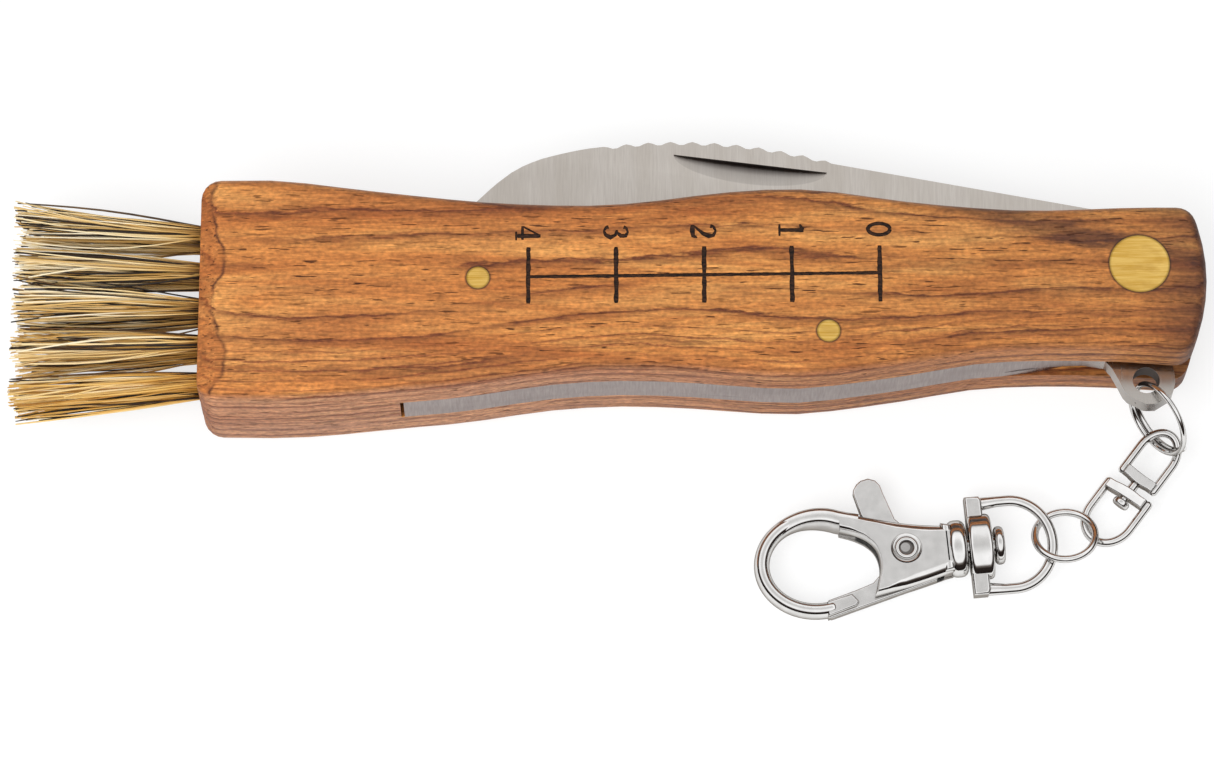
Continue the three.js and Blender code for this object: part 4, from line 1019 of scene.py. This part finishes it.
def smooth_outline(corners, steps, sharp):
    """A closed outline through corners, curved between them except at the sharp ones."""
    made = []
    count = len(corners)
    for i in range(count):
        p1, p2 = Vector(corners[i]), Vector(corners[(i + 1) % count])
        p0 = p1 if i in sharp else Vector(corners[i - 1])
        p3 = p2 if (i + 1) % count in sharp else Vector(corners[(i + 2) % count])
        for k in range(steps):
            t = k / steps
            p = 0.5 * (2 * p1 + (p2 - p0) * t + (2 * p0 - 5 * p1 + 4 * p2 - p3) * t * t
                       + (3 * p1 - p0 - 3 * p2 + p3) * t ** 3)
            made.append((p.x, p.y))
    return made


cheek_shares = [(-1, 1), (-0.69, 0.9), (-0.24, 0.72), (0.14, 0.6), (0.52, 0.52), (0.7, 0.49), (0.7, -0.6),
                (0.39, -0.73), (0.04, -0.86), (-0.2, -0.93), (-0.556, -1.035), (-0.5, -0.76), (-0.434, -0.41),
                (-0.433, -0.12), (-0.49, 0.124), (-0.614, 0.318), (-0.797, 0.47), (-1.005, 0.58)]
cheek = [(x * CHEEK_REACH[0], y * CHEEK_REACH[1]) for x, y in cheek_shares]
cheek = smooth_outline(cheek, 3, sharp=(0, 5, 6, 10, 17))
# How far each side of the cheek is rounded over: most along the bottom, hardly at all round the mouth.
side_shares = [0.5, 0.6, 0.75, 0.8, 0.7, 0.0, 1.0, 1.0, 0.8, 0.45, 0.2, 0.2, 0.2, 0.2, 0.25, 0.35, 0.5, 0.0]
cheek_sides = [share for share in side_shares for _ in range(3)]
shoulder = [(0.0, CHANNEL_HALF), (0.0, 1.1), (0.04, 1.3), (0.14, 1.52), (0.34, 1.72), (0.6, 1.9),
            (0.86, 2.03), (1.05, 2.085), (1.2, BODY_HALF)]
upper_cheek = stamped(cheek, shoulder, cheek_sides)
lower_cheek = stamped(cheek, [(d, -h) for d, h in reversed(shoulder)], cheek_sides)
neck = stamped([(4.15, -3.1), (5.3, -2.9), (5.3, 2.45), (4.15, 2.75)], rounded_steps(BODY_HALF, 0.5))
collar = knob(4.9, COLLAR_END, COLLAR_RADIUS, 0.8, 48, COLLAR_HEIGHT / 2 / COLLAR_RADIUS)
head_x = EYE_START + EYE_BOSS + 0.25
axle = knob(6.5, head_x + 0.4, AXLE_RADIUS, 0.1, 28)
axle_head = knob(head_x, head_x + 1.1, AXLE_HEAD_RADIUS, 0.45, 40)
hook = tube(hook_points, oval(*HOOK_BAR, 28, 2.2), end_round=0.5)
# The hook's root swells from the round bar to the height of the cheeks.
ROOT_START = 38
ROOT_END = 55
root_sizes = []
for i in range(ROOT_START, len(hook_points)):
    grown = min(1.0, (i - ROOT_START) / (ROOT_END - ROOT_START))
    grown = grown * grown * (3 - 2 * grown)
    root_sizes.append((0.8 + 0.2 * grown, 0.5 + 0.5 * grown))
hook_root = tube(hook_points[ROOT_START:], oval(2.16, 2 * BODY_HALF, 32, 3.2), swell=root_sizes)
body_parts = [hook, hook_root, upper_cheek, lower_cheek, neck, collar, axle, axle_head]
clasp_body = make_piece("cast_body", body_parts, bright_nickel, clasp_place, 34)
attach(clasp_body, "clasp")
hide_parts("clasp_body")

# The lever turns in the channel: a flat thumb tab above the rivet and a thicker gate below it that
# closes the hook. A hollow rivet with rolled rims holds it, and a bent leaf brings it back.
thumb_shares = [(-0.088, 0.445), (-0.192, 0.79), (-0.218, 0.896), (-0.27, 0.967), (-0.353, 1),
                (-0.446, 0.978), (-0.502, 0.932), (-0.544, 0.863), (-0.549, 0.82), (-0.483, 0.523),
                (-0.38, 0.3), (-0.2, 0.06)]
arm_shares = [(-0.22, -0.15), (-0.425, -0.366), (-0.627, -0.437), (-0.97, -0.54), (-1, -0.6),
              (-0.995, -0.76), (-0.95, -0.774), (-0.878, -0.753), (0.334, -0.399), (0.35, -0.345),
              (0.19, -0.02), (0.17, 0.14)]
gate_shares = [(-0.995, -0.575), (-0.69, -0.497), (-0.615, -0.6), (-0.65, -0.655), (-0.99, -0.762)]
LEVER_REACH = (9.65, 9.15)
LEVER_HALF = 0.65
GATE_HALF = 1.15
lever_outline, gate_outline = ([(x * LEVER_REACH[0], y * LEVER_REACH[1]) for x, y in shares]
                               for shares in (thumb_shares + arm_shares, gate_shares))
lever_parts = [stamped(lever_outline, rounded_steps(LEVER_HALF, 0.2)),
               stamped(gate_outline, rounded_steps(GATE_HALF, 0.24))]
clasp_lever = make_piece("thumb_lever", lever_parts, bright_nickel, clasp_place, 34)
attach(clasp_lever, "lever")
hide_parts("clasp_lever")

RIVET_TOP = BODY_HALF + 0.336
HOLLOW_DEEP = 1.3
ROLL_CENTRE = 1.05
ROLL_RADIUS = 0.31
rim_profile = [(0, RIVET_TOP - HOLLOW_DEEP), (0.52, RIVET_TOP - HOLLOW_DEEP), (0.6, RIVET_TOP - 1.22)]
rim_profile += [(ROLL_CENTRE - ROLL_RADIUS * math.cos(k * math.pi / 10),
                 RIVET_TOP - ROLL_RADIUS * (1 - math.sin(k * math.pi / 10))) for k in range(11)]
rim_profile += [(1.46, RIVET_TOP - 0.31), (1.6, RIVET_TOP - 0.2), (1.69, RIVET_TOP - 0.16),
                (1.8, BODY_HALF - 0.02), (0.99, BODY_HALF - 0.02), (0.99, 0)]
rivet_top = moved(lathe(rim_profile, 48), turned(-90, "Y"))
rivet_low = moved(rivet_top, turned(180, "X"))
clasp_rivet = make_piece("hollow_rivet", (rivet_top, rivet_low), bright_nickel, clasp_place, 50)
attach(clasp_rivet, "clasp")
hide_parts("clasp_rivet")
finish_node("lever_spring", ground_steel)
